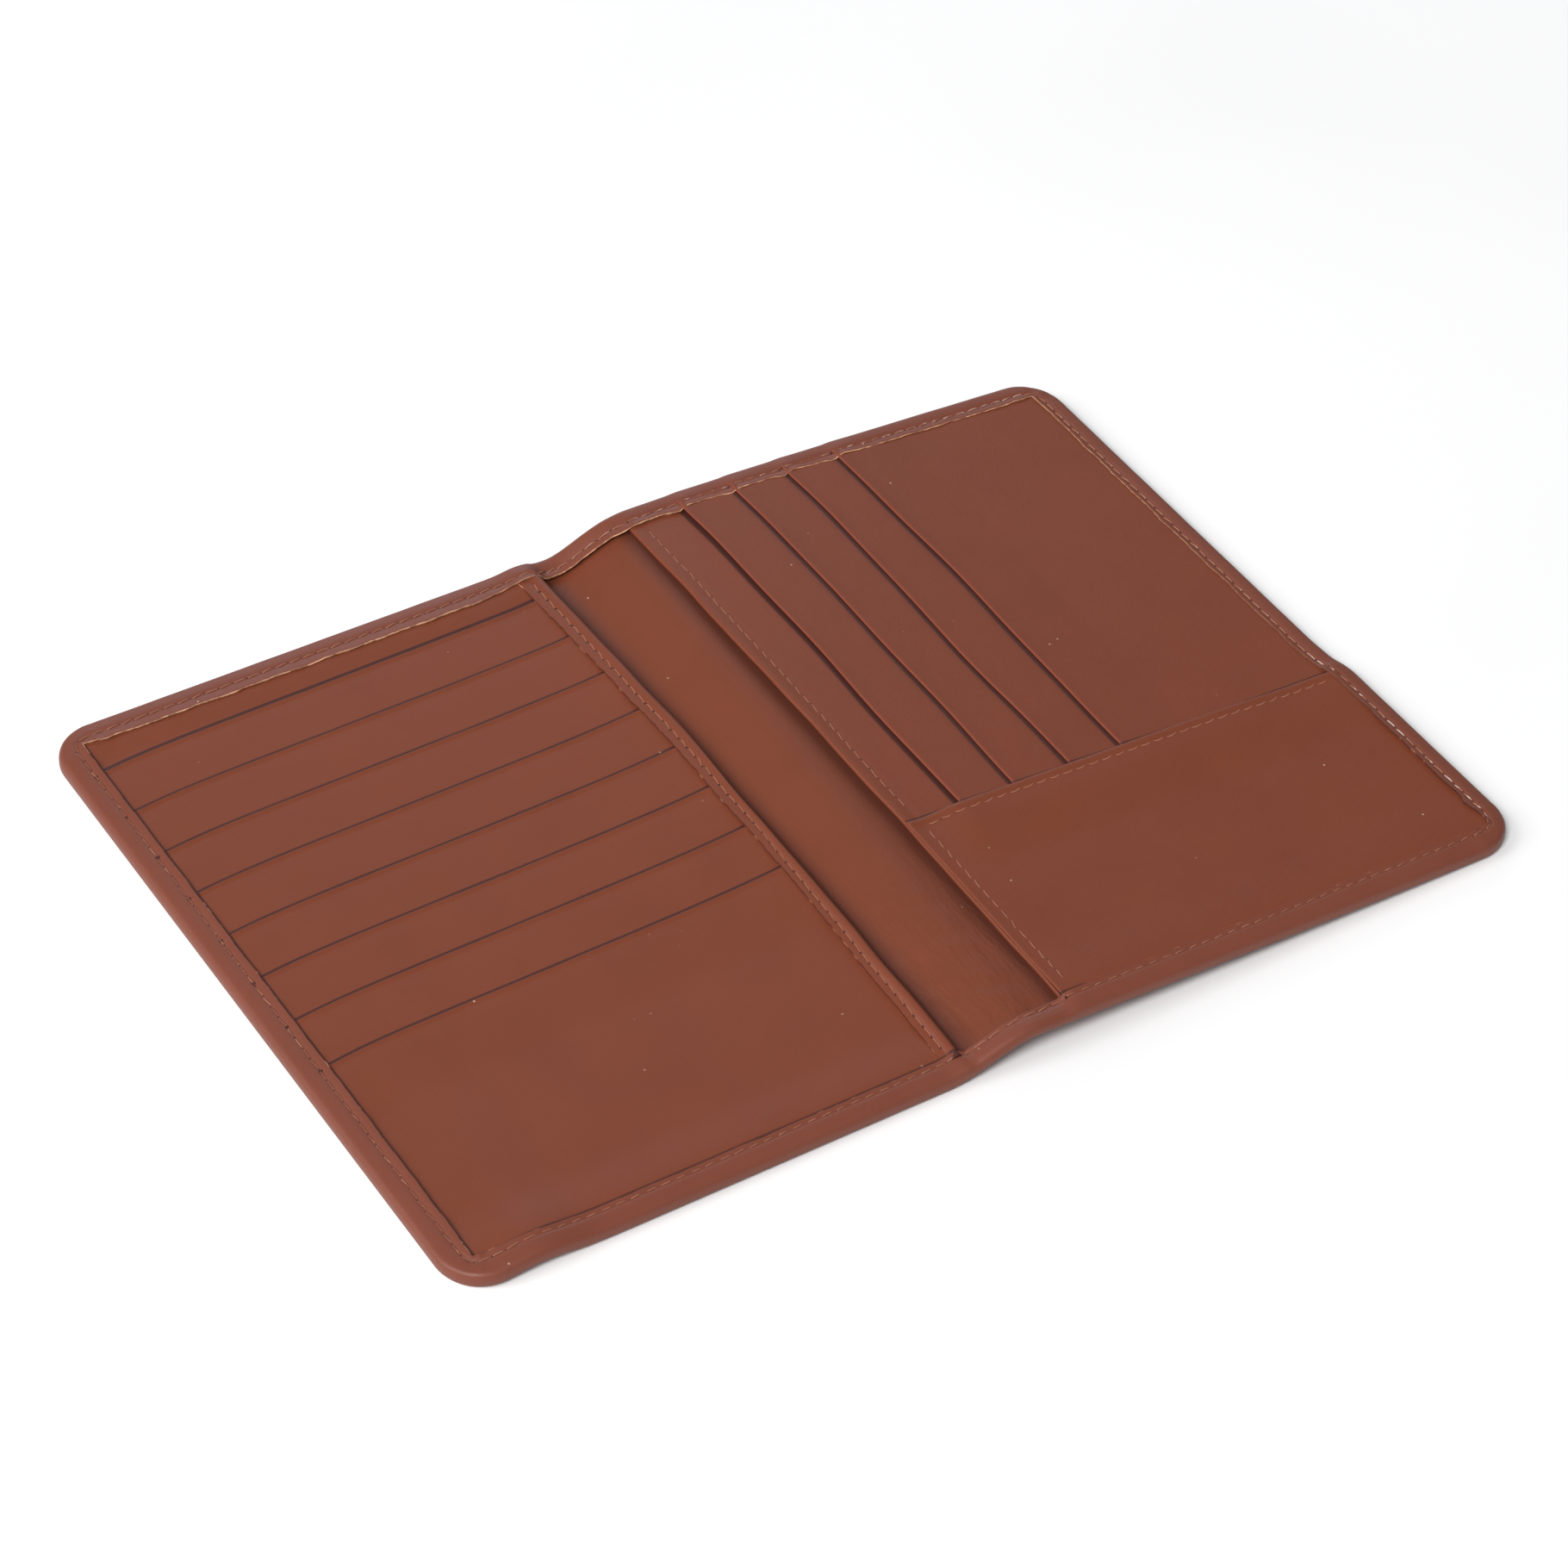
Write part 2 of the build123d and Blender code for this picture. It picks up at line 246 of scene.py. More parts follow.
def new_piece(name, flat, faces, raw=None, edge=None, shade=None, smooth_angle=0.7):
    """Makes an object from points of the flat pattern, laid on the bed.

    The point attribute "flat" keeps the pattern's own coordinates in metres, so that grain follows
    the leather when it bends. "raw" is 1 on bare cut edges and on needle holes, whose dark discs
    are painted shade. "edge" is 1 on dyed mouth edges, which carry painted shade as well on the
    left leaf and a painted highlight on the right. "shade" is 1 in the narrow strip behind a
    pocket's mouth, where painted shade stands for the shadow of the step.
    """
    mesh = bpy.data.meshes.new(name)
    places = lay(flat[:, 0], flat[:, 1], flat[:, 2]) * MM
    mesh.vertices.add(len(places))
    mesh.vertices.foreach_set("co", places.astype(np.float32).ravel())
    sizes = np.full(len(faces), faces.shape[1], dtype=np.int32)
    mesh.loops.add(faces.size)
    mesh.loops.foreach_set("vertex_index", faces.astype(np.int32).ravel())
    mesh.polygons.add(len(faces))
    mesh.polygons.foreach_set("loop_start", (np.cumsum(sizes) - sizes).astype(np.int32))
    mesh.polygons.foreach_set("use_smooth", np.ones(len(faces), dtype=bool))
    mesh.update(calc_edges=True)
    kept = mesh.attributes.new("flat", "FLOAT_VECTOR", "POINT")
    kept.data.foreach_set("vector", (flat * MM).astype(np.float32).ravel())
    for mark, values in (("raw", raw), ("edge", edge), ("shade", shade)):
        values = np.zeros(len(flat)) if values is None else values
        kept = mesh.attributes.new(mark, "FLOAT", "POINT")
        kept.data.foreach_set("value", values.astype(np.float32))
    mesh.set_sharp_from_angle(angle=smooth_angle)
    piece = bpy.data.objects.new(name, mesh)
    bpy.context.scene.collection.objects.link(piece)
    return piece


def spaced(low, high, pitch, fine=0.0, steps=5):
    """Grid lines from low to high about a pitch apart, closer together within fine of each end."""
    count = max(2, int(round((high - low - 2.0 * fine) / pitch)) + 1)
    middle = np.linspace(low + fine, high - fine, count)
    if fine <= 0.0:
        return middle
    near = fine * (np.arange(steps) / steps) ** 1.6
    return np.concatenate((low + near, middle, (high - near)[::-1]))


def joined(*stretches):
    """Grid lines of several stretches in one, each beginning where the one before it ends."""
    return np.concatenate([line[:-1] for line in stretches[:-1]] + [stretches[-1]])


def away_lines(rim, step, deep, pitch=None, shaded=0.0):
    """Grid lines from a pocket's mouth: close together within rim of it, then about a step apart.

    With a pitch they come close together again in the shaded stretch before the next mouth.
    """
    near = rim * (np.arange(12) / 11.0) ** 1.6
    if pitch is None:
        return joined(near, spaced(rim, deep, step))
    shade = spaced(pitch - shaded, pitch, 0.1)
    return joined(near, spaced(rim, shade[0], step), shade, spaced(pitch, deep, 0.8))


def edge_taper(distance, radius):
    """Share of a sheet's thickness near its edge: a quarter ellipse, never below 0.25."""
    inside = np.clip(distance / radius, 0.0, 1.0)
    return np.maximum(np.sqrt(1.0 - (1.0 - inside) ** 2), 0.25)


def two_skin_piece(
    name, u, v, top, thick, edge=None, shade=None, radius=0.22, open_start=False
):
    """A closed sheet on a grid of the flat pattern, with its edges rounded.

    top is the height of its upper face and thick its thickness; both narrow towards the sheet's
    edges by edge_taper, about the middle of the thickness. open_start leaves the first row of the
    grid at full thickness, where another sheet goes on.
    """
    first_gap = np.inf if open_start else np.hypot(u - u[:1], v - v[:1])
    along_gap = np.minimum(np.abs(v - v[:, :1]), np.abs(v - v[:, -1:]))
    to_edge = np.minimum(np.minimum(first_gap, np.abs(u - u[-1:])), along_gap)
    half = 0.5 * thick * edge_taper(to_edge, radius)
    middle = top - 0.5 * thick
    over = np.stack((u, v, middle + half), axis=-1).reshape(-1, 3)
    under = np.stack((u, v, middle - half), axis=-1).reshape(-1, 3)
    index = np.arange(u.size).reshape(u.shape)
    points, faces = closed_skins(over, under, grid_quads(index), rim_of(index))
    painted, shaded = (None if mark is None else np.tile(mark.ravel(), 2) for mark in (edge, shade))
    return new_piece(name, points, faces, edge=painted, shade=shaded)


# ---------------------------------------------------------------------------------------------
# Heights of the layers


def inner_spine_arch(u, v):
    """Extra height of a card panel near its free edge at the spine, which bows up in mid-length."""
    along = np.clip(1.0 - (v / WINDOW_HALF) ** 2, 0.0, 1.0)
    left = size("left_bow") * along * np.exp(-np.clip(BINDING_FOLD - u, 0.0, None) / 9.0)
    right = size("right_bow") * along * np.exp(-np.clip(u - PANEL_FOLD, 0.0, None) / 8.0)
    return left * (u < 0) + right * (u > 0)


def hem_height(u, v):
    """Height of the turned hem at its inner edge.

    It drops over the spine, where only the lining is under it. Along the back of the right leaf it
    jumps up at each pocket mouth and sinks again before the next one, and it is higher wherever
    the slip pocket is under it.
    """
    back = ease((v + 20.0) / 40.0)
    left = 1.0 - ease((u - BINDING_FOLD + 0.4) / 1.9)
    right = ease((u - PANEL_FOLD + 1.6) / 2.6)
    height = HEM_SPINE + (HEM_LEFT - HEM_SPINE) * left
    height = height + 0.25 * swell(u, (BINDING_RAW + BINDING_FOLD) / 2, 2.2)
    base = blend_of(HEM_SLIP, HEM_RIGHT - 0.25, ease((v - SLIP_MOUTH) / 3.0))
    steps = np.zeros_like(np.asarray(u, dtype=float))
    for mouth in RIGHT_MOUTHS:
        past = np.exp(-np.clip(u - mouth, 0, None) / 5.5)
        steps = steps + 0.5 * ease((u - mouth + 0.9) / 1.3) * past
    height = height + (base + back * steps - HEM_SPINE) * right
    end_gap = np.minimum(u - LEFT_END, RIGHT_END - u) - HEM_WIDTH
    corner_gap = np.hypot(end_gap, WINDOW_HALF - np.abs(v))
    notch = 0.5 * swell(u, BINDING_FOLD + 0.6, 0.55) * (v < 0.0)
    height = height + 0.12 * np.exp(-((corner_gap / 7.0) ** 2)) - notch
    pleats = 0.13 * ripple(u - v, 61, 2.9) * swell(corner_gap, 1.5, 3.5)
    return height + 0.05 * ripple(u + 0.7 * v, 11, 17.0) + pleats


def edge_bulge(u, v):
    """How far the right edge stands out: a little more beside the slip pocket, less behind it."""
    near = ease((u - RIGHT_END + 16.0) / 14.0)
    beside = 0.9 * ease((SLIP_MOUTH + 4.0 - v) / 7.0)
    return near * (beside - 0.5 * ease((v - SLIP_MOUTH) / 10.0) - 0.4)


def pocket_height(away, pitch, base):
    """Top of a pocket front at a distance from its mouth: down to its knee, then level.

    The front lies over the mouth edge behind it, so it is highest at its own mouth and dips, in a
    straight fall of one thickness per pitch, to where the next front covers it.
    """
    knee = pitch + POCKET_OVERLAP
    thick = size("pocket_leather")
    rise = (thick + POCKET_PLAY) * knee / pitch
    return base + thick + rise * np.clip(1.0 - away / knee, 0.0, 1.0)


# ---------------------------------------------------------------------------------------------
# Cover: outside leather and turned hem in one sheet, in a left and a right half


def hem_margin(u, v):
    """Extra width of the hem: less at the front and the right end, more behind the left leaf."""
    front = -0.95 * ease((-v - 61.0) / 6.0) * ease((u + 104.0) / 20.0)
    back = 0.8 * ease((v - 61.0) / 6.0) * ease((-14.0 - u) / 8.0) * ease((u + 98.5) / 6.0)
    return front + back - 0.45 * ease((u - RIGHT_END + HEM_WIDTH + 2.0) / 2.0) * (v > -61.0)


def hem_shoulder(height):
    """Height of the hem's outer shoulder, where its top begins, for a height at its inner edge."""
    return np.maximum(HEM_EDGE + 0.35 * (height - HEM_LEFT), 2.12)


def hem_profile(height, width):
    """Section of the turned edge, from the underside round the outer edge to the inner raw edge.

    Distances are measured inwards from the outer edge. The section is a short level stretch, a
    quarter circle, a low wall, a larger quarter circle, and a top that rises to the inner edge
    with a groove pressed by the seam. Returns distance and height, one row per point.
    """
    shoulder = hem_shoulder(height)
    under = np.array([1.0, 0.82, 0.76, 0.72, 0.683, 0.646, 0.606, 0.5, 0.3])[:, None] * width
    under_height = UNDER_GROOVE * swell(under, width - SEAM_INSET, 0.3)
    turn = np.radians(np.array([0.0, 22.5, 45.0, 67.5, 90.0]))[:, None]
    over_turn = np.radians(np.array([0.0, 18.0, 36.0, 54.0, 72.0, 90.0]))[:, None]
    ones = np.ones_like(height)[None, :]
    first = UNDER_RADIUS * (1.0 - np.sin(turn)) * ones
    first_height = UNDER_RADIUS * (1.0 - np.cos(turn)) * ones
    second = OVER_RADIUS * (1.0 - np.cos(over_turn)) * ones
    second_height = shoulder[None, :] - OVER_RADIUS * (1.0 - np.sin(over_turn))
    share = [0.1, 0.22, 0.34, 0.44, 0.52, 0.58, 0.64, 0.7, 0.78, 0.86, 0.93, 0.97, 1.0]
    share = np.array(share)[:, None]
    third = OVER_RADIUS + share * (width - OVER_RADIUS) * ones
    rise = (height - shoulder)[None, :] * share**0.8
    groove = size("seam_depth") * swell(third, width - SEAM_INSET, 0.55)
    lip = 0.05 * ease((share - 0.97) / 0.03)
    third_height = shoulder[None, :] + rise - groove - lip
    distance = np.concatenate((under * ones, first, second, third))
    level = np.concatenate((under_height * ones, first_height, second_height, third_height))
    return distance, level


def outline_pair(reach, across, along):
    """Inner and outer line of the hem round a half, in order along the front, end and back.

    The inner line is the square-cornered window edge. The outer line runs beside it and turns its
    corners on an arc: the last stretch of each side, as long as the corner radius less the hem
    width, is shared out over half of the arc.
    """
    stretch = CORNER_RADIUS - HEM_WIDTH
    front = np.stack((across, np.full_like(across, -WINDOW_HALF)), axis=-1)
    end = np.stack((np.full_like(along, reach - HEM_WIDTH), along), axis=-1)
    inner = np.concatenate((front, end[1:], front[::-1][1:] * [1.0, -1.0]))
    past_front = np.clip(front[:, 0] - (reach - CORNER_RADIUS), 0.0, stretch) / stretch
    turn = np.radians(45.0) * past_front
    bend = np.array([reach - CORNER_RADIUS, -(HALF_DEPTH - CORNER_RADIUS)])
    straight = np.full_like(across, -HALF_DEPTH)
    outer_front = np.stack((np.minimum(front[:, 0], bend[0]), straight), axis=-1)
    arc = bend + CORNER_RADIUS * np.stack((np.sin(turn), -np.cos(turn)), axis=-1)
    outer_front = np.where(past_front[:, None] > 0.0, arc, outer_front)
    past_end = np.clip(np.abs(along) - (HALF_DEPTH - CORNER_RADIUS), 0.0, stretch) / stretch
    turn = np.radians(90.0 - 45.0 * past_end)
    sign = np.where(along < 0.0, -1.0, 1.0)
    arc_u = bend[0] + CORNER_RADIUS * np.sin(turn)
    arc = np.stack((arc_u, sign * (-bend[1] + CORNER_RADIUS * np.cos(turn))), axis=-1)
    straight = np.stack((np.full_like(along, reach), along), axis=-1)
    outer_end = np.where(past_end[:, None] > 0.0, arc, straight)
    outer = np.concatenate((outer_front, outer_end[1:-1], outer_front[::-1] * [1.0, -1.0]))
    return inner, outer


def reach_of(side):
    """From the middle of the spine to the outer end of the left (-1) or the right (1) half."""
    return (RIGHT_END - SPLIT) if side > 0 else (SPLIT - LEFT_END)


def on_side(side, place):
    """A half's own places, from the middle of the spine, as u and v; the left half is turned."""
    return SPLIT + side * place[..., 0], side * place[..., 1]


def cover_half(name, side):
    """One half of the cover, from the middle of the spine to its outer edge.

    The window is a plain grid and the hem is hem_profile carried round outline_pair; both have an
    outer skin and an inner one, a leather's thickness apart along the section's normal.
    """
    reach = reach_of(side)
    ends = np.linspace(0.0, CORNER_RADIUS - HEM_WIDTH, 8)
    across = joined(spaced(0.0, reach - CORNER_RADIUS, 1.0), reach - CORNER_RADIUS + ends)
    middle = spaced(-(HALF_DEPTH - CORNER_RADIUS), HALF_DEPTH - CORNER_RADIUS, 0.9)
    along = np.concatenate((middle[0] - ends[:0:-1], middle, middle[-1] + ends[1:]))
    inner, outer = outline_pair(reach, across, along)
    path_u, path_v = on_side(side, inner)
    distance, level = hem_profile(hem_height(path_u, path_v), HEM_WIDTH)
    turn_in = np.gradient(distance, axis=0)
    climb = np.gradient(level, axis=0)
    length = np.hypot(turn_in, climb)
    thick = np.where(np.arange(len(distance))[:, None] > len(distance) - 8, FLAP, LEATHER)
    in_distance = distance + climb / length * thick
    in_level = level - turn_in / length * thick
    in_distance[:9] = distance[:9]
    in_level[:9] = LEATHER
    steps = travelled(inner[:, 0], inner[:, 1])
    waver = 0.14 * ripple(steps, 5 + int(side), 13.0) + 0.07 * ripple(steps, 8, 3.1)
    waver = waver * np.where((path_u < LEFT_END + 8.0) | (path_v < -60.0), 0.5, 1.0)
    for mouth in RIGHT_MOUTHS:
        waver = waver + 0.55 * swell(path_u, mouth - 1.6, 1.3) * (path_v > 60.0)
    waver = waver + hem_margin(path_u, path_v)
    inside = np.clip((distance - 0.55 * HEM_WIDTH) / (0.45 * HEM_WIDTH), 0.0, 1.0)
    upper = np.arange(len(distance))[:, None] > 19
    shift = np.where(upper, inside * waver[None, :], 0.0)

    def ring(dist, lev):
        share = ((dist + shift) / HEM_WIDTH)[..., None]
        u, v = on_side(side, outer[None] + (inner - outer)[None] * share)
        return np.stack((u + edge_bulge(u, v), v, lev), axis=-1)

    window = np.stack(np.meshgrid(across, along, indexing="ij"), axis=-1)
    grid_u, grid_v = on_side(side, window)
    grid_u = grid_u + edge_bulge(grid_u, grid_v)
    rows, columns = grid_u.shape
    grid_index = np.arange(rows * columns).reshape(rows, columns)
    first = np.concatenate((grid_index[:, 0], grid_index[-1, 1:], grid_index[:-1, -1][::-1]))
    others = rows * columns + np.arange((len(distance) - 1) * len(first)).reshape(-1, len(first))
    ring_index = np.concatenate((first[None], others))
    skins = []
    for dist, lev, floor in ((distance, level, 0.0), (in_distance, in_level, LEATHER)):
        sheet = np.stack((grid_u, grid_v, np.full_like(grid_u, floor)), axis=-1).reshape(-1, 3)
        skins.append(np.concatenate((sheet, ring(dist, lev)[1:].reshape(-1, 3))))
    grid_faces = grid_quads(grid_index)[:, ::-1]
    ring_faces = grid_quads(ring_index)[:, ::-1]
    last = ring_index[-1]
    back, front = ring_index[-2::-1, -1], ring_index[1:-1, 0]
    loop = np.concatenate((last, back, grid_index[0, -2::-1], front))
    points, faces = closed_skins(*skins, np.concatenate((grid_faces, ring_faces)), loop[::-1])
    raw_rows = np.zeros(len(skins[0]))
    raw_rows[ring_index[-2:]] = 1.0
    return new_piece(name, points, faces, np.tile(raw_rows, 2), smooth_angle=0.9)


# ---------------------------------------------------------------------------------------------
# Linings and boards


def round_cornered(u_line, inset):
    """Half the depth, at each place across, of a sheet inset from the cover's outline by a gap."""
    to_end = np.minimum(u_line - LEFT_END, RIGHT_END - u_line) - inset
    radius = CORNER_RADIUS - inset
    missing = np.clip(radius - to_end, 0.0, radius)
    return HALF_DEPTH - inset - (radius - np.sqrt(radius**2 - missing**2))


def lining_half(name, side):
    """One half of the lining, a thin sheet on the cover that puffs up a little over the spine."""
    reach = reach_of(side) - LINING_INSET
    across = joined(spaced(0.0, 14.0, 0.7), spaced(14.0, reach, 3.0, fine=7.0, steps=9))
    share = spaced(-1.0, 1.0, 0.014)
    u_line = SPLIT + side * across
    u = np.repeat(u_line[:, None], len(share), axis=1)
    v = side * round_cornered(u_line, LINING_INSET)[:, None] * share[None, :]
    free = np.clip(1.0 - (v / WINDOW_HALF) ** 2, 0.0, 1.0)
    between = ease((u - BINDING_FOLD) / 4.0) * ease((PANEL_FOLD - u) / 6.0)
    puff = 0.35 * free**0.5 * between
    near_front = 1.0 - ease((v + 62.0) / 45.0)
    crease = 0.10 * ripple(v + 0.5 * u, 3, 7.0) * between * near_front
    top = LINING_TOP + puff + crease
    return two_skin_piece(name, u, v, top, LINING_THICK, open_start=True)


def stiffener(name, low_u, high_u):
    """A stiffener board between cover and lining: a thin sheet with rounded outer corners."""
    u_line = spaced(low_u, high_u, 4.0, fine=7.0, steps=9)
    share = np.linspace(-1.0, 1.0, 30)
    u = np.repeat(u_line[:, None], len(share), axis=1)
    v = round_cornered(u_line, BOARD_INSET)[:, None] * share[None, :]
    top = np.full_like(u, LEATHER + BOARD_THICK + 0.01)
    return two_skin_piece(name, u, v, top, BOARD_THICK, radius=0.05)


# ---------------------------------------------------------------------------------------------
# Card panels, pockets, binding


def left_panel_sheet(name):
    """The sheet behind the stepped pockets; it climbs to the hem behind the first mouth."""
    first = LEFT_MOUTHS[0]
    u_line = spaced(LEFT_TUCK, BINDING_FOLD - 0.6, 1.6, fine=0.8, steps=4)
    shade = spaced(first - 3.2, first + 2.3, 0.12)
    v_line = joined(
        spaced(FRONT_TUCK, shade[0], 2.5), shade, spaced(shade[-1], BACK_TUCK, 0.7)
    )
    u, v = np.meshgrid(u_line, v_line, indexing="ij")
    climb = ease((v - 52.0) / 7.0) * 0.75 + ease((v - 61.0) / 5.5) * 0.5
    top = LEFT_PANEL_TOP + climb + inner_spine_arch(u, v)
    # Painted shade on the panel just behind the first mouth, for the shadow of the step.
    shade = 1.0 - ease((v - left_mouth_line(u, first) - 0.8) / 0.5)
    return two_skin_piece(name, u, v, top, LEFT_PANEL_THICK, shade=shade)


def left_mouth_line(u, mouth):
    """Where a stepped pocket's mouth runs: it climbs to the spine, sags, and droops at the hem."""
    share = (u - LEFT_TUCK) / (BINDING_FOLD - LEFT_TUCK)
    droop = 1.7 * np.exp(-share / 0.10)
    return mouth - droop + 1.1 * (share - 0.52) + 0.3 * (2.0 * share - 1.0) ** 2 - 0.2


def left_pocket(name, number):
    """A stepped pocket front: pocket_height away from its mouth, with a rolled mouth edge."""
    mouth = LEFT_MOUTHS[number]
    is_last = number == len(LEFT_MOUTHS) - 1
    pitch = LEFT_MOUTHS[0] - LEFT_MOUTHS[1]
    deep = mouth - FRONT_TUCK if is_last else pitch + POCKET_OVERLAP
    away_line = away_lines(1.4, 1.4, deep, None if is_last else pitch, 0.9)
    u_line = spaced(LEFT_TUCK, BINDING_FOLD - 0.7, 1.5, fine=0.8, steps=4)
    u, away = np.meshgrid(u_line, away_line[::-1], indexing="ij")
    start = left_mouth_line(u, mouth)
    v = blend_of(start, FRONT_TUCK, away / deep) if is_last else start - away
    top = pocket_height(away, pitch, POCKET_BASE) + inner_spine_arch(u, v)
    rise = 0.45 * ease((FRONT_END + 14.0 - v) / 9.0) if is_last else 0.0
    top = top + rise + 0.03 * ripple(u, 40 + number, 31.0)
    roll = 0.10 * swell(away, 0.25, 0.45) - 0.05 * swell(away, 1.3, 0.5)
    # Mouth edge: dark dye, which also stands as painted shade at the step.
    paint = 1.0 - ease((away - 0.1) / 0.25)
    # Painted shade on this front just before the next mouth.
    shade = np.zeros_like(u) if is_last else ease((away - pitch + 0.9) / 0.5)
    thick = size("pocket_leather")
    return two_skin_piece(name, u, v, top + roll, thick, edge=paint, shade=shade, radius=0.2)


def fabric_sheet(name, node):
    """Fabric that takes a pocket front down to the pocket's bottom.

    It starts under the lower end of the front and falls in a straight line to the panel, so the
    fabrics of neighbouring pockets lie on each other.
    """
    on_left = corner(node, 1, "x") < 0.0
    u_line = spaced(corner(node, 0, "x"), corner(node, 1, "x"), 4.0)
    v_line = spaced(corner(node, 0, "y"), corner(node, 1, "y"), 4.0)
    u, v = np.meshgrid(u_line, v_line, indexing="ij")
    below = v_line[-1] - v if on_left else u - u_line[0]
    from_front = below / np.ptp(v_line if on_left else u_line)
    top = POCKET_BASE - 0.02 - 0.3 * from_front + inner_spine_arch(u, v)
    return two_skin_piece(name, u, v, top, FABRIC_THICK, radius=0.02)


def bent_sheet(name, section_u, section_h, u, v_line, arch, thick, raw=None, shade=None):
    """A closed sheet whose middle follows a section that turns over at the spine edge.

    u holds the section's places across with their waver along the spine, and arch the extra height.
    The skins lie half a thickness to either side, along the section's normal.
    """
    tangent_u, tangent_h = np.gradient(section_u), np.gradient(section_h)
    length = np.hypot(tangent_u, tangent_h)
    v = np.broadcast_to(v_line, u.shape)
    skins = []
    for side in (0.5, -0.5):
        offset_u = (-side * thick * tangent_h / length)[:, None]
        offset_h = (side * thick * tangent_u / length)[:, None]
        h = section_h[:, None] + arch + offset_h
        skins.append(np.stack((u + offset_u, v, h), axis=-1).reshape(-1, 3))
    index = np.arange(u.size).reshape(u.shape)
    points, faces = closed_skins(*skins, grid_quads(index), rim_of(index))
    raw, shade = (None if mark is None else np.tile(mark.ravel(), 2) for mark in (raw, shade))
    return new_piece(name, points, faces, raw=raw, shade=shade)


def binding_waver(v):
    """How the binding strays from a straight line: it bows towards the spine in mid-length."""
    return 0.14 * ripple(v, 21, 41.0) + 1.15 * np.clip(1.0 - (v / WINDOW_HALF) ** 2, 0.0, 1.0)


def binding_top(across_share):
    """Height of the binding's upper skin, from its raw edge (0) to its fold (1)."""
    rise = blend_of(MOUTH_TOP + 0.02, MOUTH_TOP + 0.42, ease(across_share * 1.25))
    return rise - 0.2 * swell(across_share, BINDING_SEAM, 0.15)


def binding_strip(name):
    """Binding folded round the left panel's spine edge.

    Its section runs along the top from the raw edge, round a half turn, and back underneath. The
    seam presses a valley into the top and draws the raw edge in between stitches.
    """
    v_line = spaced(FRONT_TUCK, BACK_TUCK, 0.6)
    turn = np.linspace(np.pi / 2.0, -np.pi / 2.0, 11)[1:-1]
    low = LINING_TOP + 0.14
    bend_u = BINDING_FOLD - (binding_top(1.0) - BINDING_THICK / 2.0 - low) / 2.0 * 0.8
    top_u = blend_of(BINDING_RAW, bend_u, np.linspace(0.0, 1.0, 19))
    top_h = binding_top((top_u - BINDING_RAW) / (BINDING_FOLD - BINDING_RAW)) - BINDING_THICK / 2.0
    half = (top_h[-1] - low) / 2.0
    back_u = top_u[::-1][:12]
    section_u = np.concatenate((top_u, bend_u + 0.8 * half * np.cos(turn), back_u))
    section_h = np.concatenate((top_h, low + half + half * np.sin(turn), np.full(12, low)))
    nubs = 0.09 * ripple(v_line, 23, 2.7) + 0.06 * ripple(v_line, 24, 9.0)
    row = np.arange(len(section_u))[:, None]
    pull = np.clip(1.0 - row / 5.0, 0.0, 1.0)
    u = section_u[:, None] + binding_waver(v_line)[None, :] + pull * nubs[None, :]
    arch = inner_spine_arch(BINDING_FOLD, v_line)[None, :]
    raw = np.broadcast_to((row < 1).astype(float), u.shape)
    return bent_sheet(name, section_u, section_h, u, v_line, arch, BINDING_THICK, raw=raw)


def panel_waver(v):
    """How the folded edge of the right leaf and its seam stray from a straight line."""
    return 0.12 * ripple(v, 31, 37.0)


def panel_groove(u):
    """Valley pressed by the seam along the folded edge of the right leaf."""
    return 0.12 * swell(u, PANEL_FOLD + EDGE_SEAM, 0.6)


def panel_top(u, v):
    """Upper face of the right card panel: level behind its folded edge, lower under the pockets."""
    sink = 0.42 * ease((u - RIGHT_MOUTHS[0]) / 4.0)
    return RIGHT_PANEL_TOP - sink - panel_groove(u) + inner_spine_arch(u, v)


def right_panel_sheet(name):
    """The right card panel: its top, a flat half turn at the spine, and a short return below."""
    shade = spaced(SLIP_MOUTH - 1.0, SLIP_MOUTH + 3.0, 0.2)
    v_line = joined(
        spaced(FRONT_TUCK, shade[0], 2.0), shade, spaced(shade[-1], BACK_TUCK, 1.5)
    )
    low = LINING_TOP + 0.25
    high = RIGHT_PANEL_TOP - RIGHT_PANEL_THICK / 2.0
    half = (high - low) / 2.0
    turn = np.linspace(-np.pi / 2.0, np.pi / 2.0, 9)[1:-1]
    bend_u = PANEL_FOLD + 0.9 * half
    shade = spaced(RIGHT_MOUTHS[0] - 1.6, RIGHT_MOUTHS[0] + 1.0, 0.15)
    top_u = joined(spaced(bend_u, shade[0], 0.6), shade, spaced(shade[-1], RIGHT_TUCK, 3.0))
    top_h = panel_top(top_u, HALF_DEPTH) - RIGHT_PANEL_THICK / 2.0
    return_u = spaced(bend_u, PANEL_FOLD + 8.0, 1.0)[::-1]
    section_u = np.concatenate((return_u, bend_u - 0.9 * half * np.cos(turn), top_u))
    turn_h = (low + high) / 2.0 + half * np.sin(turn)
    section_h = np.concatenate((np.full(len(return_u), low), turn_h, top_h))
    fading = np.exp(-np.abs(section_u - PANEL_FOLD) / 6.0)[:, None]
    u = section_u[:, None] + panel_waver(v_line)[None, :] * fading
    v = v_line[None, :]
    on_top = (np.arange(len(section_u)) >= len(return_u) + len(turn))[:, None]
    # Painted shade before the first upright mouth and behind the slip pocket's mouth.
    before = ease((u - right_mouth_line(v, 0) + 1.3) / 1.1)
    shade = np.maximum(before, slip_shade(u, v)) * on_top
    arch = inner_spine_arch(u, v)
    return bent_sheet(
        name, section_u, section_h, u, v_line, arch, RIGHT_PANEL_THICK, shade=shade
    )


def right_mouth_line(v, number):
    """Where an upright pocket's mouth runs: nearly straight, bending to the spine at the back."""
    bend = 0.5 * swell(v, BACK_TUCK, 9.0)
    return RIGHT_MOUTHS[number] + 0.3 * ripple(v, 50 + number, 90.0) - bend


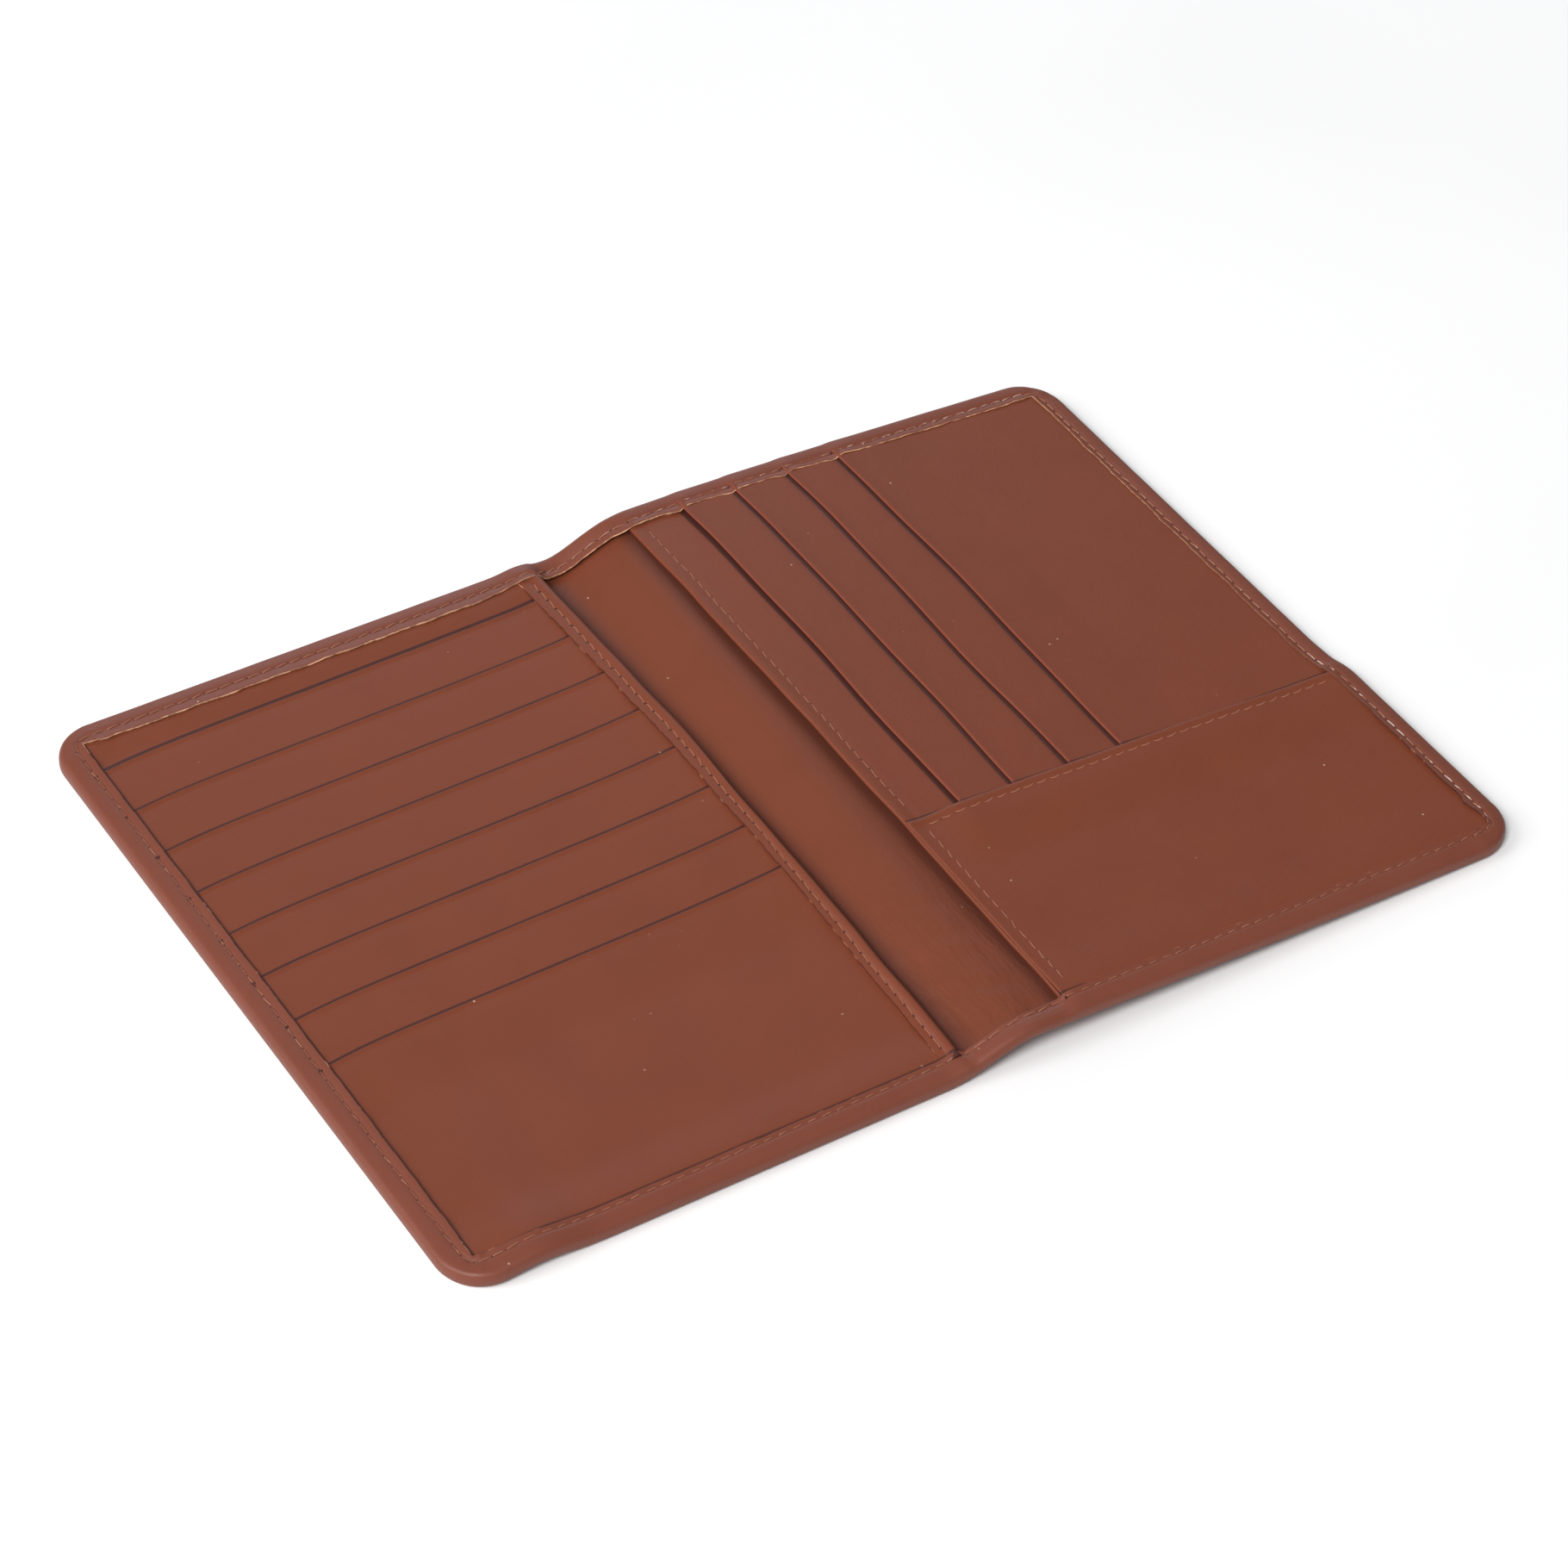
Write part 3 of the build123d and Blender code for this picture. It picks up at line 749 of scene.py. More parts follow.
def right_pocket(name, number):
    """An upright pocket front: pocket_height away from its mouth, which faces the spine."""
    is_last = number == len(RIGHT_MOUTHS) - 1
    pitch = RIGHT_MOUTHS[1] - RIGHT_MOUTHS[0]
    deep = RIGHT_TUCK - RIGHT_MOUTHS[number] if is_last else pitch + POCKET_OVERLAP
    away_line = away_lines(1.5, 1.2, deep, None if is_last else pitch, 1.0)
    shaded = spaced(UPRIGHT_END, SLIP_MOUTH + 3.0, 0.16)
    rear = spaced(SLIP_MOUTH + 3.0, BACK_TUCK, 1.5)
    v_line = joined(shaded, rear, BACK_TUCK - np.array([0.6, 0.2, 0.0]))
    away, v = np.meshgrid(away_line, v_line, indexing="ij")
    line = right_mouth_line(v, number)
    ahead = line + pitch if is_last else right_mouth_line(v, number + 1)
    u = blend_of(line, ahead, np.minimum(away / pitch, 1.0)) + np.maximum(away - pitch, 0.0)
    top = pocket_height(away, pitch, POCKET_BASE + 0.03) + 0.06 * swell(away, 0.5, 0.9)
    u = u + edge_bulge(u, v)
    # Mouth edge: dye, lighter and redder in the shader as a painted highlight on the rounded edge.
    paint = 1.0 - ease((away - 0.15) / 0.3)
    # Painted shade before the next mouth and behind the slip pocket's mouth.
    before = 0.0 if is_last else ease((away - pitch + 1.3) / 1.1)
    shade = np.maximum(before, slip_shade(u, v))
    thick = size("pocket_leather") + 0.08
    return two_skin_piece(name, u, v, top, thick, edge=paint, shade=shade)


def slip_mouth_line(u):
    """Where the slip pocket's mouth runs: it falls forward towards the outer edge."""
    share = (u - PANEL_FOLD) / (RIGHT_TUCK - PANEL_FOLD)
    return SLIP_MOUTH + SLIP_CLIMB - 0.8 * share


def slip_shade(u, v):
    """1 in the dark strip behind the slip pocket's mouth and under the pocket, 0 farther back."""
    # Painted shade: it stands for the shadow behind the slip pocket's mouth.
    return 1.0 - ease((v - slip_mouth_line(u) - 0.2) / 0.8)


def slip_top(u, v, away):
    """Upper face of the slip pocket at a distance from its mouth.

    At the mouth it lies over the ends of the upright pockets; it sinks behind them and towards the
    hem at its outer end, and climbs again to the hem along the front. Two seams press valleys into
    it.
    """
    past = ease((u - RIGHT_MOUTHS[0] + 8.0) / 8.0)
    level = RIGHT_PANEL_TOP + 0.45
    crown = MOUTH_TOP + 0.5 - 0.42 * ease((u - RIGHT_MOUTHS[-1] - 18.0) / 18.0)
    mouth = blend_of(level, crown, past) + 0.12 * swell(away, 0.7, 0.8)
    top = blend_of(mouth, level, ease((away - 3.0) / 13.0))
    climb = 0.33 * ease((FRONT_END + 16.0 - v) / 10.0)
    grooves = 0.12 * swell(away, MOUTH_SEAM, 0.5) + panel_groove(u)
    return top + climb - grooves + inner_spine_arch(u, v)


def slip_pocket_sheet(name):
    """The slip pocket, a sheet between its mouth line and the front hem."""
    deep = SLIP_MOUTH + SLIP_CLIMB - FRONT_TUCK
    away_line = away_lines(1.4, 1.2, deep)
    u_line = spaced(PANEL_FOLD, RIGHT_TUCK, 1.2, fine=0.8, steps=4)
    u, away = np.meshgrid(u_line, away_line[::-1], indexing="ij")
    v = blend_of(slip_mouth_line(u), FRONT_TUCK, away / deep)
    top = slip_top(u, v, away)
    return two_skin_piece(name, u + edge_bulge(u, v), v, top, SLIP_THICK, radius=0.32)


# ---------------------------------------------------------------------------------------------
# Stitching


def stitch_row(
    name, places, headings, tops, slant, bow=0.0, gap=0.3, heavy=1.0, spots=1.0, flip=1.0
):
    """A row of stitches: short arched threads, each with a needle hole's shade at both ends.

    places are the stitch centres, headings the seam's direction there in radians and tops the
    surface height. A thread is a tube of six sides as long as the pitch less gap. Its line rises as
    1 - t^4 between its ends, swings sideways by bow (0.6 - t^2), and turns by slant from the seam.
    A hole is a flat eight-sided disc. heavy and spots scale the thread's and the holes' width, and
    flip is -1 under the cover.
    """
    count = len(places)
    length = size("stitch_pitch") - gap
    width = size("thread_width") * heavy
    random = np.random.default_rng(len(name) * 7 + count)
    turn = headings + slant + random.normal(0.0, 0.06, count)
    along = np.stack((np.cos(turn), np.sin(turn)), axis=-1)
    side = np.stack((-along[:, 1], along[:, 0]), axis=-1)
    t = np.array([-1.0, -0.82, -0.4, 0.0, 0.4, 0.82, 1.0])
    girth = np.array([0.45, 0.85, 1.0, 1.0, 1.0, 0.85, 0.45])
    ring = np.radians(60.0 * np.arange(6) + 30.0)
    thread_points = len(t) * len(ring)
    half = length / 2.0 * (1.0 + random.normal(0.0, 0.05, count))
    rise = width * (0.62 * (1.0 - t**4) - 0.28)
    lateral = width / 2.0 * girth[:, None] * np.cos(ring)[None, :]
    upward = 0.8 * width / 2.0 * girth[:, None] * np.sin(ring)[None, :] + rise[:, None]
    centre = places[:, None, :] + half[:, None, None] * t[None, :, None] * along[:, None, :]
    centre = centre + bow * (0.6 - t**2)[None, :, None] * side[:, None, :]
    plan = centre[:, :, None, :] + lateral[None, :, :, None] * side[:, None, None, :]
    height = np.broadcast_to(tops[:, None, None] + flip * upward[None], plan.shape[:-1])
    thread = np.concatenate((plan, height[..., None]), axis=-1).reshape(count, -1, 3)
    ring_index = np.arange(thread_points).reshape(len(t), len(ring))
    wrapped = np.concatenate((ring_index, ring_index[:, :1]), axis=1)
    caps = np.array([[0, 3, 2, 1], [0, 5, 4, 3], [36, 37, 38, 39], [36, 39, 40, 41]])
    thread_faces = np.concatenate((grid_quads(wrapped)[:, ::-1], caps))
    disc = np.radians(45.0 * np.arange(8))
    hole_points = 2 * len(disc)
    ends = half[:, None, None] * np.array([-1.0, 1.0])[None, :, None] * 1.04
    spots_at = places[:, None, :] + ends * along[:, None, :]
    round_line = 0.13 * spots * np.stack((1.15 * np.cos(disc), np.sin(disc)), axis=-1)
    taper = np.array([0.85, 1.0])[None, None, :, None, None]
    plan = spots_at[:, :, None, None, :] + round_line[None, None, None] * taper
    levels = np.array([0.035, -0.12])[None, None, :, None]
    height = np.broadcast_to(tops[:, None, None, None] + flip * levels, plan.shape[:-1])
    hole = np.concatenate((plan, height[..., None]), axis=-1).reshape(count * 2, -1, 3)
    lid = np.array([[0, 1, 2, 3], [0, 3, 4, 7], [4, 5, 6, 7]])
    loop = np.arange(8)
    wall = np.stack((loop, loop + 8, np.roll(loop, -1) + 8, np.roll(loop, -1)), axis=-1)
    hole_faces = np.concatenate((lid, lid[:, ::-1] + 8, wall))
    if flip < 0:
        thread_faces, hole_faces = thread_faces[:, ::-1], hole_faces[:, ::-1]
    threads_end = thread_points * count
    first = thread_faces[None] + thread_points * np.arange(count)[:, None, None]
    second = hole_faces[None] + threads_end + hole_points * np.arange(2 * count)[:, None, None]
    points = np.concatenate((thread.reshape(-1, 3), hole.reshape(-1, 3)))
    faces = np.concatenate((first.reshape(-1, 4), second.reshape(-1, 4)))
    dark = np.concatenate((np.zeros(threads_end), np.ones(2 * hole_points * count)))
    return points, faces, dark


def join_rows(name, *rows):
    """One piece from several rows of stitches."""
    points, faces, dark, start = [], [], [], 0
    for row_points, row_faces, row_dark in rows:
        points.append(row_points)
        faces.append(row_faces + start)
        dark.append(row_dark)
        start += len(row_points)
    joint = (np.concatenate(values) for values in (points, faces, dark))
    return new_piece(name, *joint, smooth_angle=1.2)


def evenly(u, v):
    """Stitch centres along a line of points at the stitch pitch, with the heading at each one.

    Also returns each one's place along the line, from 0 to 1.
    """
    pitch = size("stitch_pitch")
    steps = travelled(u, v)
    count = int(steps[-1] / pitch)
    at = (steps[-1] - count * pitch) / 2.0 + pitch * (np.arange(count) + 0.5)
    before, here, after = (
        np.stack((np.interp(at + by, steps, u), np.interp(at + by, steps, v)), axis=-1)
        for by in (-0.5, 0.0, 0.5)
    )
    step = after - before
    return here, np.arctan2(step[:, 1], step[:, 0]), at / steps[-1]


def border_stitches(name, side):
    """Stitches round one half's hem, and the same ones under the cover, in their grooves."""
    reach = reach_of(side)
    across = spaced(0.0, reach - HEM_WIDTH, 0.8)
    along = spaced(-WINDOW_HALF, WINDOW_HALF, 0.8)
    inner, outer = outline_pair(reach, across, along)
    share = (HEM_WIDTH - SEAM_INSET) / HEM_WIDTH
    seam_u, seam_v = on_side(side, outer + (inner - outer) * share)
    place, heading, at = evenly(seam_u, seam_v)
    steps = travelled(seam_u, seam_v)
    height = np.interp(at, steps / steps[-1], hem_height(*on_side(side, inner)))
    shoulder = hem_shoulder(height)
    rise_share = (HEM_WIDTH - SEAM_INSET - OVER_RADIUS) / (HEM_WIDTH - OVER_RADIUS)
    tops = shoulder + (height - shoulder) * rise_share**0.8 - size("seam_depth")
    place[:, 0] += edge_bulge(place[:, 0], place[:, 1])
    over = stitch_row(name, place, heading, tops, 0.1, bow=-0.06)
    below = stitch_row(name, place, heading, np.full(len(place), UNDER_GROOVE), -0.1, flip=-1.0)
    return join_rows(name, over, below)


def binding_stitches(name):
    """The seam along the binding, its stitches slanting across it."""
    seam_u = blend_of(BINDING_RAW, BINDING_FOLD, BINDING_SEAM)
    v = spaced(-(WINDOW_HALF - 0.6), WINDOW_HALF - 0.6, 0.8)
    place, heading, _ = evenly(seam_u + binding_waver(v), v)
    tops = binding_top(BINDING_SEAM) + inner_spine_arch(BINDING_FOLD, place[:, 1])
    row = stitch_row(name, place, heading, tops, -0.12, bow=-0.1, gap=0.25, heavy=0.72, spots=1.6)
    return join_rows(name, row)


def edge_stitches(name):
    """The seam beside the folded edge of the right leaf, behind the slip pocket's mouth."""
    v = spaced(SLIP_MOUTH + 3.0, WINDOW_HALF - 0.6, 0.8)
    place, heading, _ = evenly(PANEL_FOLD + EDGE_SEAM + panel_waver(v), v)
    tops = panel_top(place[:, 0], place[:, 1])
    row = stitch_row(name, place, heading, tops, -0.1, bow=0.05, gap=0.25, heavy=0.6)
    return join_rows(name, row)


def slip_stitches(name):
    """The seam under the slip pocket's mouth, and the folded edge's seam where it crosses it."""
    u = spaced(PANEL_FOLD + 3.0, RIGHT_END - HEM_WIDTH - 0.5, 0.8)
    mouth, heading, _ = evenly(u, slip_mouth_line(u) - MOUTH_SEAM)
    tops = slip_top(mouth[:, 0], mouth[:, 1], MOUTH_SEAM)
    first = stitch_row(name, mouth, heading, tops, 0.1, bow=-0.42, gap=-0.1, heavy=0.9)
    v = spaced(-(WINDOW_HALF - 0.6), SLIP_MOUTH - 1.5, 0.8)
    edge, turn, _ = evenly(np.full_like(v, PANEL_FOLD + EDGE_SEAM), v)
    tops = slip_top(edge[:, 0], edge[:, 1], slip_mouth_line(edge[:, 0]) - edge[:, 1])
    second = stitch_row(name, edge, turn, tops, -0.1, bow=0.12, gap=0.15, heavy=0.7)
    return join_rows(name, first, second)


# ---------------------------------------------------------------------------------------------
# Materials


class Wire:
    """A shader socket that arithmetic works on: an expression on wires adds the Math nodes."""

    def __init__(self, tree, socket=None):
        self.tree = tree
        self.socket = socket

    def node(self, kind, settings=None, values=None, output=0):
        """Adds a node: its settings first, then numbers or wires into its sockets."""
        made = self.tree.nodes.new(kind)
        for key, value in (settings or {}).items():
            setattr(made, key, value)
        for key, value in (values or {}).items():
            if isinstance(value, Wire):
                self.tree.links.new(value.socket, made.inputs[key])
            else:
                made.inputs[key].default_value = value
        return Wire(self.tree, made.outputs[output])

    def math(self, operation, *values):
        return self.node("ShaderNodeMath", {"operation": operation}, dict(enumerate(values)))

    def most(self, *others):
        """The largest of this and the others."""
        largest = self
        for other in others:
            largest = largest.math("MAXIMUM", largest, other)
        return largest

    def __add__(self, other):
        return self.math("ADD", self, other)

    def __sub__(self, other):
        return self.math("SUBTRACT", self, other)

    def __rsub__(self, other):
        return self.math("SUBTRACT", other, self)

    def __mul__(self, other):
        return self.math("MULTIPLY", self, other)

    __radd__ = __add__
    __rmul__ = __mul__

    def between(self, low, high):
        """0 where this is below low, 1 above high, eased between them."""
        values = {"Value": self, "From Min": low, "From Max": high}
        return self.node("ShaderNodeMapRange", {"interpolation_type": "SMOOTHSTEP"}, values)

    def stretched(self, scale, turn=0.0):
        """These coordinates turned about the vertical and scaled."""
        values = {"Vector": self, "Rotation": (0.0, 0.0, turn), "Scale": scale}
        return self.node("ShaderNodeMapping", {"vector_type": "POINT"}, values)

    def noise(self, pitch, detail=2.0, roughness=0.5):
        """Noise with features about a pitch across, in millimetres; coordinates are in metres."""
        scale = 1.0 / (pitch * MM)
        values = {"Vector": self, "Scale": scale, "Detail": detail, "Roughness": roughness}
        return self.node("ShaderNodeTexNoise", None, values)

    def cells(self, pitch):
        """Distance to the nearest of scattered points, in pitches; the pitch is in millimetres."""
        values = {"Vector": self, "Scale": 1.0 / (pitch * MM)}
        return self.node("ShaderNodeTexVoronoi", None, values)

    def mixed(self, other, share):
        """This colour where share is 0, the other where it is 1."""
        values = {"Factor": share, 6: self, 7: other}
        return self.node("ShaderNodeMix", {"data_type": "RGBA"}, values, output=2)

    def axis(self, name):
        return self.node("ShaderNodeSeparateXYZ", None, {"Vector": self}, "XYZ".index(name))


def new_material(name, colour):
    """An empty material with its viewport colour, its tree's wire, and its surface shader."""
    material = bpy.data.materials.new(name)
    material.use_nodes = True
    material.diffuse_color = (*colour, 1.0)
    tree = material.node_tree
    tree.nodes.clear()
    start = Wire(tree)
    shader = tree.nodes.new("ShaderNodeBsdfPrincipled")
    output = tree.nodes.new("ShaderNodeOutputMaterial")
    tree.links.new(shader.outputs["BSDF"], output.inputs["Surface"])
    return material, start, shader


def attribute(start, name, output="Vector"):
    """The wire of a mesh attribute."""
    return start.node("ShaderNodeAttribute", {"attribute_name": name}, None, output)


def plain(start, colour, factor=1.0):
    """A colour, times one number or a number for each channel, as a wire."""
    wire = start.node("ShaderNodeRGB")
    wire.socket.default_value = (*(np.array(colour) * factor), 1.0)
    return wire


def set_shader(start, shader, colour, roughness, bumps):
    """Links colour, roughness and a chain of bumps: pairs of a height wire and its depth in mm."""
    tree = start.tree
    tree.links.new(colour.socket, shader.inputs["Base Color"])
    tree.links.new(roughness.socket, shader.inputs["Roughness"])
    normal = None
    for height, depth in bumps:
        values = {"Height": height, "Distance": depth * MM, "Strength": 1.0}
        if normal:
            values["Normal"] = normal
        normal = start.node("ShaderNodeBump", None, values)
    if normal:
        tree.links.new(normal.socket, shader.inputs["Normal"])


def window_gap(flat):
    """Distance in millimetres from the hem's inner edge at the left end and at the front."""
    across = flat.axis("X") * (1.0 / MM) - (LEFT_END + HEM_WIDTH)
    along = flat.axis("Y") * (1.0 / MM) + (WINDOW_HALF + 0.8)
    return across.math("MINIMUM", across, along)


def leather(name, colour, rough, grain=1.0, crease=0.0, shaded=False):
    """Smooth fine-grained leather: mottled dye, fine grain, faint scratches, and pale cut edges.

    shaded paints shade into the crease along the hem's inner edge, at the left end and the front.
    crease also paints shade on the lining beside the spine edges of both card panels. The "edge"
    attribute mixes in mouth-edge dye, with painted shade on the left leaf and a painted highlight
    on the right, and the "shade" attribute adds painted shade behind the pocket mouths.
    """
    colours = bpy.context.scene.holder_colours
    material, start, shader = new_material(name, colour)
    flat = attribute(start, "flat")
    raw = attribute(start, "raw", "Fac")
    mottle = flat.noise(14.0, 3.0, 0.55)
    speckle = flat.noise(0.9, 2.0, 0.6)
    tone = plain(start, colour)
    dark = plain(start, colour, (0.80, 0.74, 0.72))
    light = plain(start, colour, (1.16, 1.12, 1.10))
    body = tone.mixed(light, mottle.between(0.45, 0.75) * 0.25)
    body = body.mixed(dark, (1.0 - mottle).between(0.5, 0.8) * 0.22)
    body = body.mixed(dark, speckle.between(0.55, 0.8) * 0.25)
    dyed = plain(start, colours.fibre_dark)
    fibre = plain(start, colours.fibre).mixed(dyed, flat.noise(1.1, 3.0).between(0.4, 0.65))
    # Mouth edges: dye, with painted shade on the left leaf and a painted highlight on the right.
    painted = attribute(start, "edge", "Fac").between(0.05, 0.8)
    # Painted shade in the crease along the hem's inner edge, at the left end and the front.
    if shaded:
        painted = painted.most(1.0 - window_gap(flat).between(0.15, 0.65))
    # Painted shade on the lining beside the binding's fold and under the right panel's folded edge.
    if crease:
        across = flat.axis("X") * (1.0 / MM)
        beside = (1.0 - across.between(BINDING_FOLD, BINDING_FOLD + 5.5)) * 0.75
        under = across.between(PANEL_FOLD - 3.4, PANEL_FOLD - 0.2) * 0.7
        painted = beside.most(under)
    # Left leaf: dark dye and painted shade; right leaf: red dye and painted highlight.
    right_leaf = flat.axis("X").between(0.014, 0.016)
    dark_dye_and_shade = plain(start, colours.dark_dye_and_shade)
    paint = dark_dye_and_shade.mixed(plain(start, colours.red_dye_and_highlight), right_leaf)
    body = body.mixed(paint, painted * 0.85)
    # Painted shade from the "shade" attribute, behind the pocket mouths.
    body = body.mixed(dark_dye_and_shade, attribute(start, "shade", "Fac").between(0.0, 0.7) * 0.88)
    at_back = flat.axis("Y").between(0.0655, 0.0665)
    at_right = flat.axis("X").between(0.0965, 0.0975) * flat.axis("Y").between(-0.055, 0.055)
    patchy = flat.noise(2.2, 2.0).between(0.6, 0.68) * 0.5
    at_back = at_back * (0.35 + 0.65 * flat.noise(2.0, 2.0).between(0.35, 0.6))
    bare = at_back.most(at_right * 0.6, patchy)
    cut = raw.between(0.35, 0.9)
    body = body.mixed(dark_dye_and_shade, cut * (0.55 - 0.55 * bare)).mixed(fibre, cut * bare)
    dusty = flat.noise(17.0, 1.0).between(0.42, 0.6)
    specks = (1.0 - flat.cells(6.0).between(0.022, 0.045)) * dusty
    body = body.mixed(plain(start, colours.speck), specks * 0.75)
    scratch = flat.stretched((1.0, 0.06, 1.0), 0.6).noise(0.9, 1.0).between(0.68, 0.74)
    roughness = rough + 0.09 * (mottle - 0.5) + 0.05 * (speckle - 0.5) - 0.04 * scratch
    roughness = roughness + 0.3 * raw.between(0.4, 0.9)
    pebble = 1.0 - flat.cells(0.55).between(0.0, 0.75)
    fine = flat.noise(0.22, 2.0, 0.6)
    bumps = [(pebble, 0.010 * grain), (fine, 0.012 * grain), (flat.noise(5.0, 2.0), 0.05)]
    if crease:
        band = flat.stretched((1.0, 0.22, 1.0), 0.25).noise(2.6, 3.0, 0.6)
        near_front = 1.0 - flat.axis("Y").between(-0.050, -0.010)
        bumps.append((band * near_front, crease))
    set_shader(start, shader, body, roughness, bumps)
    shader.inputs["Specular IOR Level"].default_value = 0.32
    shader.inputs["Coat Roughness"].default_value = 0.3
    return material


def thread(name):
    """Twisted thread: dull at the left and front borders, pale in places at the right and back.

    The pale patches at the right and back are painted highlights, glints on the thread, and so are
    the glints in the dull borders. Its needle holes are painted shade: dark discs.
    """
    colours = bpy.context.scene.holder_colours
    material, start, shader = new_material(name, colours.thread)
    flat = attribute(start, "flat")
    # Needle holes: dark discs of painted shade.
    dark = attribute(start, "raw", "Fac").between(0.45, 0.55)
    at_back = flat.axis("Y").between(0.0684, 0.0688) * flat.axis("X").between(-0.02, 0.03) * 0.6
    # Painted highlights: glints on the thread at the back and right.
    pale = at_back.most(flat.axis("X").between(0.0985, 0.099))
    pale = pale * flat.noise(1.5, 1.0).between(0.48, 0.60) * 0.8
    at_front = 1.0 - flat.axis("Y").between(-0.0685, -0.068)
    dull = 1.0 - flat.axis("X").between(-0.0985, -0.098)
    dull = dull.most(at_front * 0.45, flat.axis("Y").between(0.068, 0.0685) * 0.25)
    # Painted highlights: glints where the thread keeps its own colour in the dull borders.
    glint = flat.noise(1.7, 1.0).between(0.55, 0.65) * 0.7
    shade = plain(start, colours.thread).mixed(plain(start, colours.cover), dull * (0.85 - glint))
    shade = shade.mixed(plain(start, colours.thread_glint_highlight), pale)
    patch = flat.noise(2.3, 2.0)
    shade = shade.mixed(plain(start, colours.thread, 0.6), patch.between(0.5, 0.7) * 0.5)
    twist = flat.noise(0.15, 1.0)
    shade = shade.mixed(plain(start, colours.needle_hole), dark)
    set_shader(start, shader, shade, 0.62 + 0.2 * patch, [(twist, 0.04)])
    return material


def fabric(name):
    """Thin woven pocket fabric: two crossed ribs."""
    colours = bpy.context.scene.holder_colours
    material, start, shader = new_material(name, colours.fabric)
    flat = attribute(start, "flat")
    turns = 2.0 * np.pi / (0.35 * MM)
    warp = flat.math("SINE", flat.axis("X") * turns)
    weft = flat.math("SINE", flat.axis("Y") * turns)
    weave = warp * weft
    rib = plain(start, colours.fabric, 0.6)
    shade = plain(start, colours.fabric).mixed(rib, weave.between(-0.5, 1.0) * 0.6)
    set_shader(start, shader, shade, 0.78 + 0.1 * flat.noise(4.0), [(weave, 0.03)])
    return material


def board(name):
    """Grey-brown fibre board with short fibres."""
    colours = bpy.context.scene.holder_colours
    material, start, shader = new_material(name, colours.board)
    flat = attribute(start, "flat")
    fibres = flat.stretched((1.0, 0.15, 1.0), 0.9).noise(0.5, 3.0)
    dark = plain(start, colours.board, 0.7)
    shade = plain(start, colours.board).mixed(dark, fibres.between(0.4, 0.7) * 0.5)
    set_shader(start, shader, shade, 0.85 + 0.08 * flat.noise(6.0), [(fibres, 0.02)])
    return material


def paper(name):
    """The pale floor: matte, almost even."""
    colours = bpy.context.scene.holder_colours
    material, start, shader = new_material(name, colours.floor)
    place = start.node("ShaderNodeTexCoord", None, None, "Object")
    cloud = place.noise(180.0, 2.0)
    dark = plain(start, colours.floor, 0.97)
    shade = plain(start, colours.floor).mixed(dark, cloud.between(0.4, 0.7))
    set_shader(start, shader, shade, 0.9 + 0.05 * cloud, [])
    return material


def shared(kind, name, *values, **options):
    """A material made once and used by several pieces."""
    return bpy.data.materials.get(name) or kind(name, *values, **options)


# ---------------------------------------------------------------------------------------------
# Settings


def colour_setting(name, description, default):
    limits = {"size": 3, "min": 0.0, "max": 1.0}
    return bpy.props.FloatVectorProperty(
        name=name, description=description, subtype="COLOR", default=default, **limits
    )


def length_setting(name, description, millimetres):
    shown = {"unit": "LENGTH", "min": 0.0, "precision": 5}
    return bpy.props.FloatProperty(
        name=name, description=description, default=millimetres * MM, **shown
    )


class HolderSizes(bpy.types.PropertyGroup):
    """Sizes of the holder's leather and seams."""

    pocket_leather: length_setting("Pocket leather", "Thickness of a pocket front", 0.38)
    stitch_pitch: length_setting("Stitch pitch", "From one stitch to the next", 2.7)
    thread_width: length_setting("Thread width", "Thickness of the sewing thread", 0.25)
    seam_depth: length_setting("Seam depth", "How deep the border seam presses the hem", 0.2)
    spine_rise: length_setting("Spine rise", "How high the crest beside the right leaf stands", 4.3)
    left_bow: length_setting("Left bow", "How far the left card panel's spine edge bows up", 1.1)
    right_bow: length_setting("Right bow", "How far the right card panel's spine edge bows up", 0.7)


class HolderColours(bpy.types.PropertyGroup):
    """Colours of the holder's materials and of the floor."""

    cover: colour_setting("Cover", "Leather of the cover and its hem", (0.185, 0.052, 0.030))
    lining: colour_setting("Lining", "Leather behind the spine", (0.166, 0.0405, 0.0172))
    pocket: colour_setting("Pockets", "Leather of the panels and pockets", (0.183, 0.045, 0.02))
    fibre: colour_setting("Cut edge", "Bare fibre where leather is cut", (0.66, 0.37, 0.21))
    # Dark dye of the stepped mouths and cut edges, also painted shade behind mouths, creases, folds.
    dark_dye_and_shade: colour_setting("Left edges", "Dye on the stepped mouths", (0.045, 0.014, 0.012))
    # Red dye of the upright mouths, lighter as a painted highlight of their rounded edges.
    red_dye_and_highlight: colour_setting("Right edges", "Dye on the upright mouths", (0.22, 0.050, 0.025))
    speck: colour_setting("Specks", "Dust and tiny nicks on the leather", (0.55, 0.36, 0.26))
    fibre_dark: colour_setting("Dyed cut edge", "Dye that has run over a cut edge", (0.40, 0.17, 0.09))
    thread: colour_setting("Thread", "Sewing thread", (0.34, 0.145, 0.085))
    # Colour of the painted highlights, glints, on the thread at the back and right.
    thread_glint_highlight: colour_setting("Pale thread", "Thread at the back and right", (0.66, 0.54, 0.47))
    needle_hole: colour_setting("Needle holes", "Shade in the needle holes", (0.035, 0.012, 0.009))
    fabric: colour_setting("Pocket fabric", "Thin fabric inside the pockets", (0.11, 0.05, 0.033))
    board: colour_setting("Board", "Stiffener board", (0.42, 0.31, 0.21))
    floor: colour_setting("Floor", "The surface the holder lies on", (0.93, 0.93, 0.93))


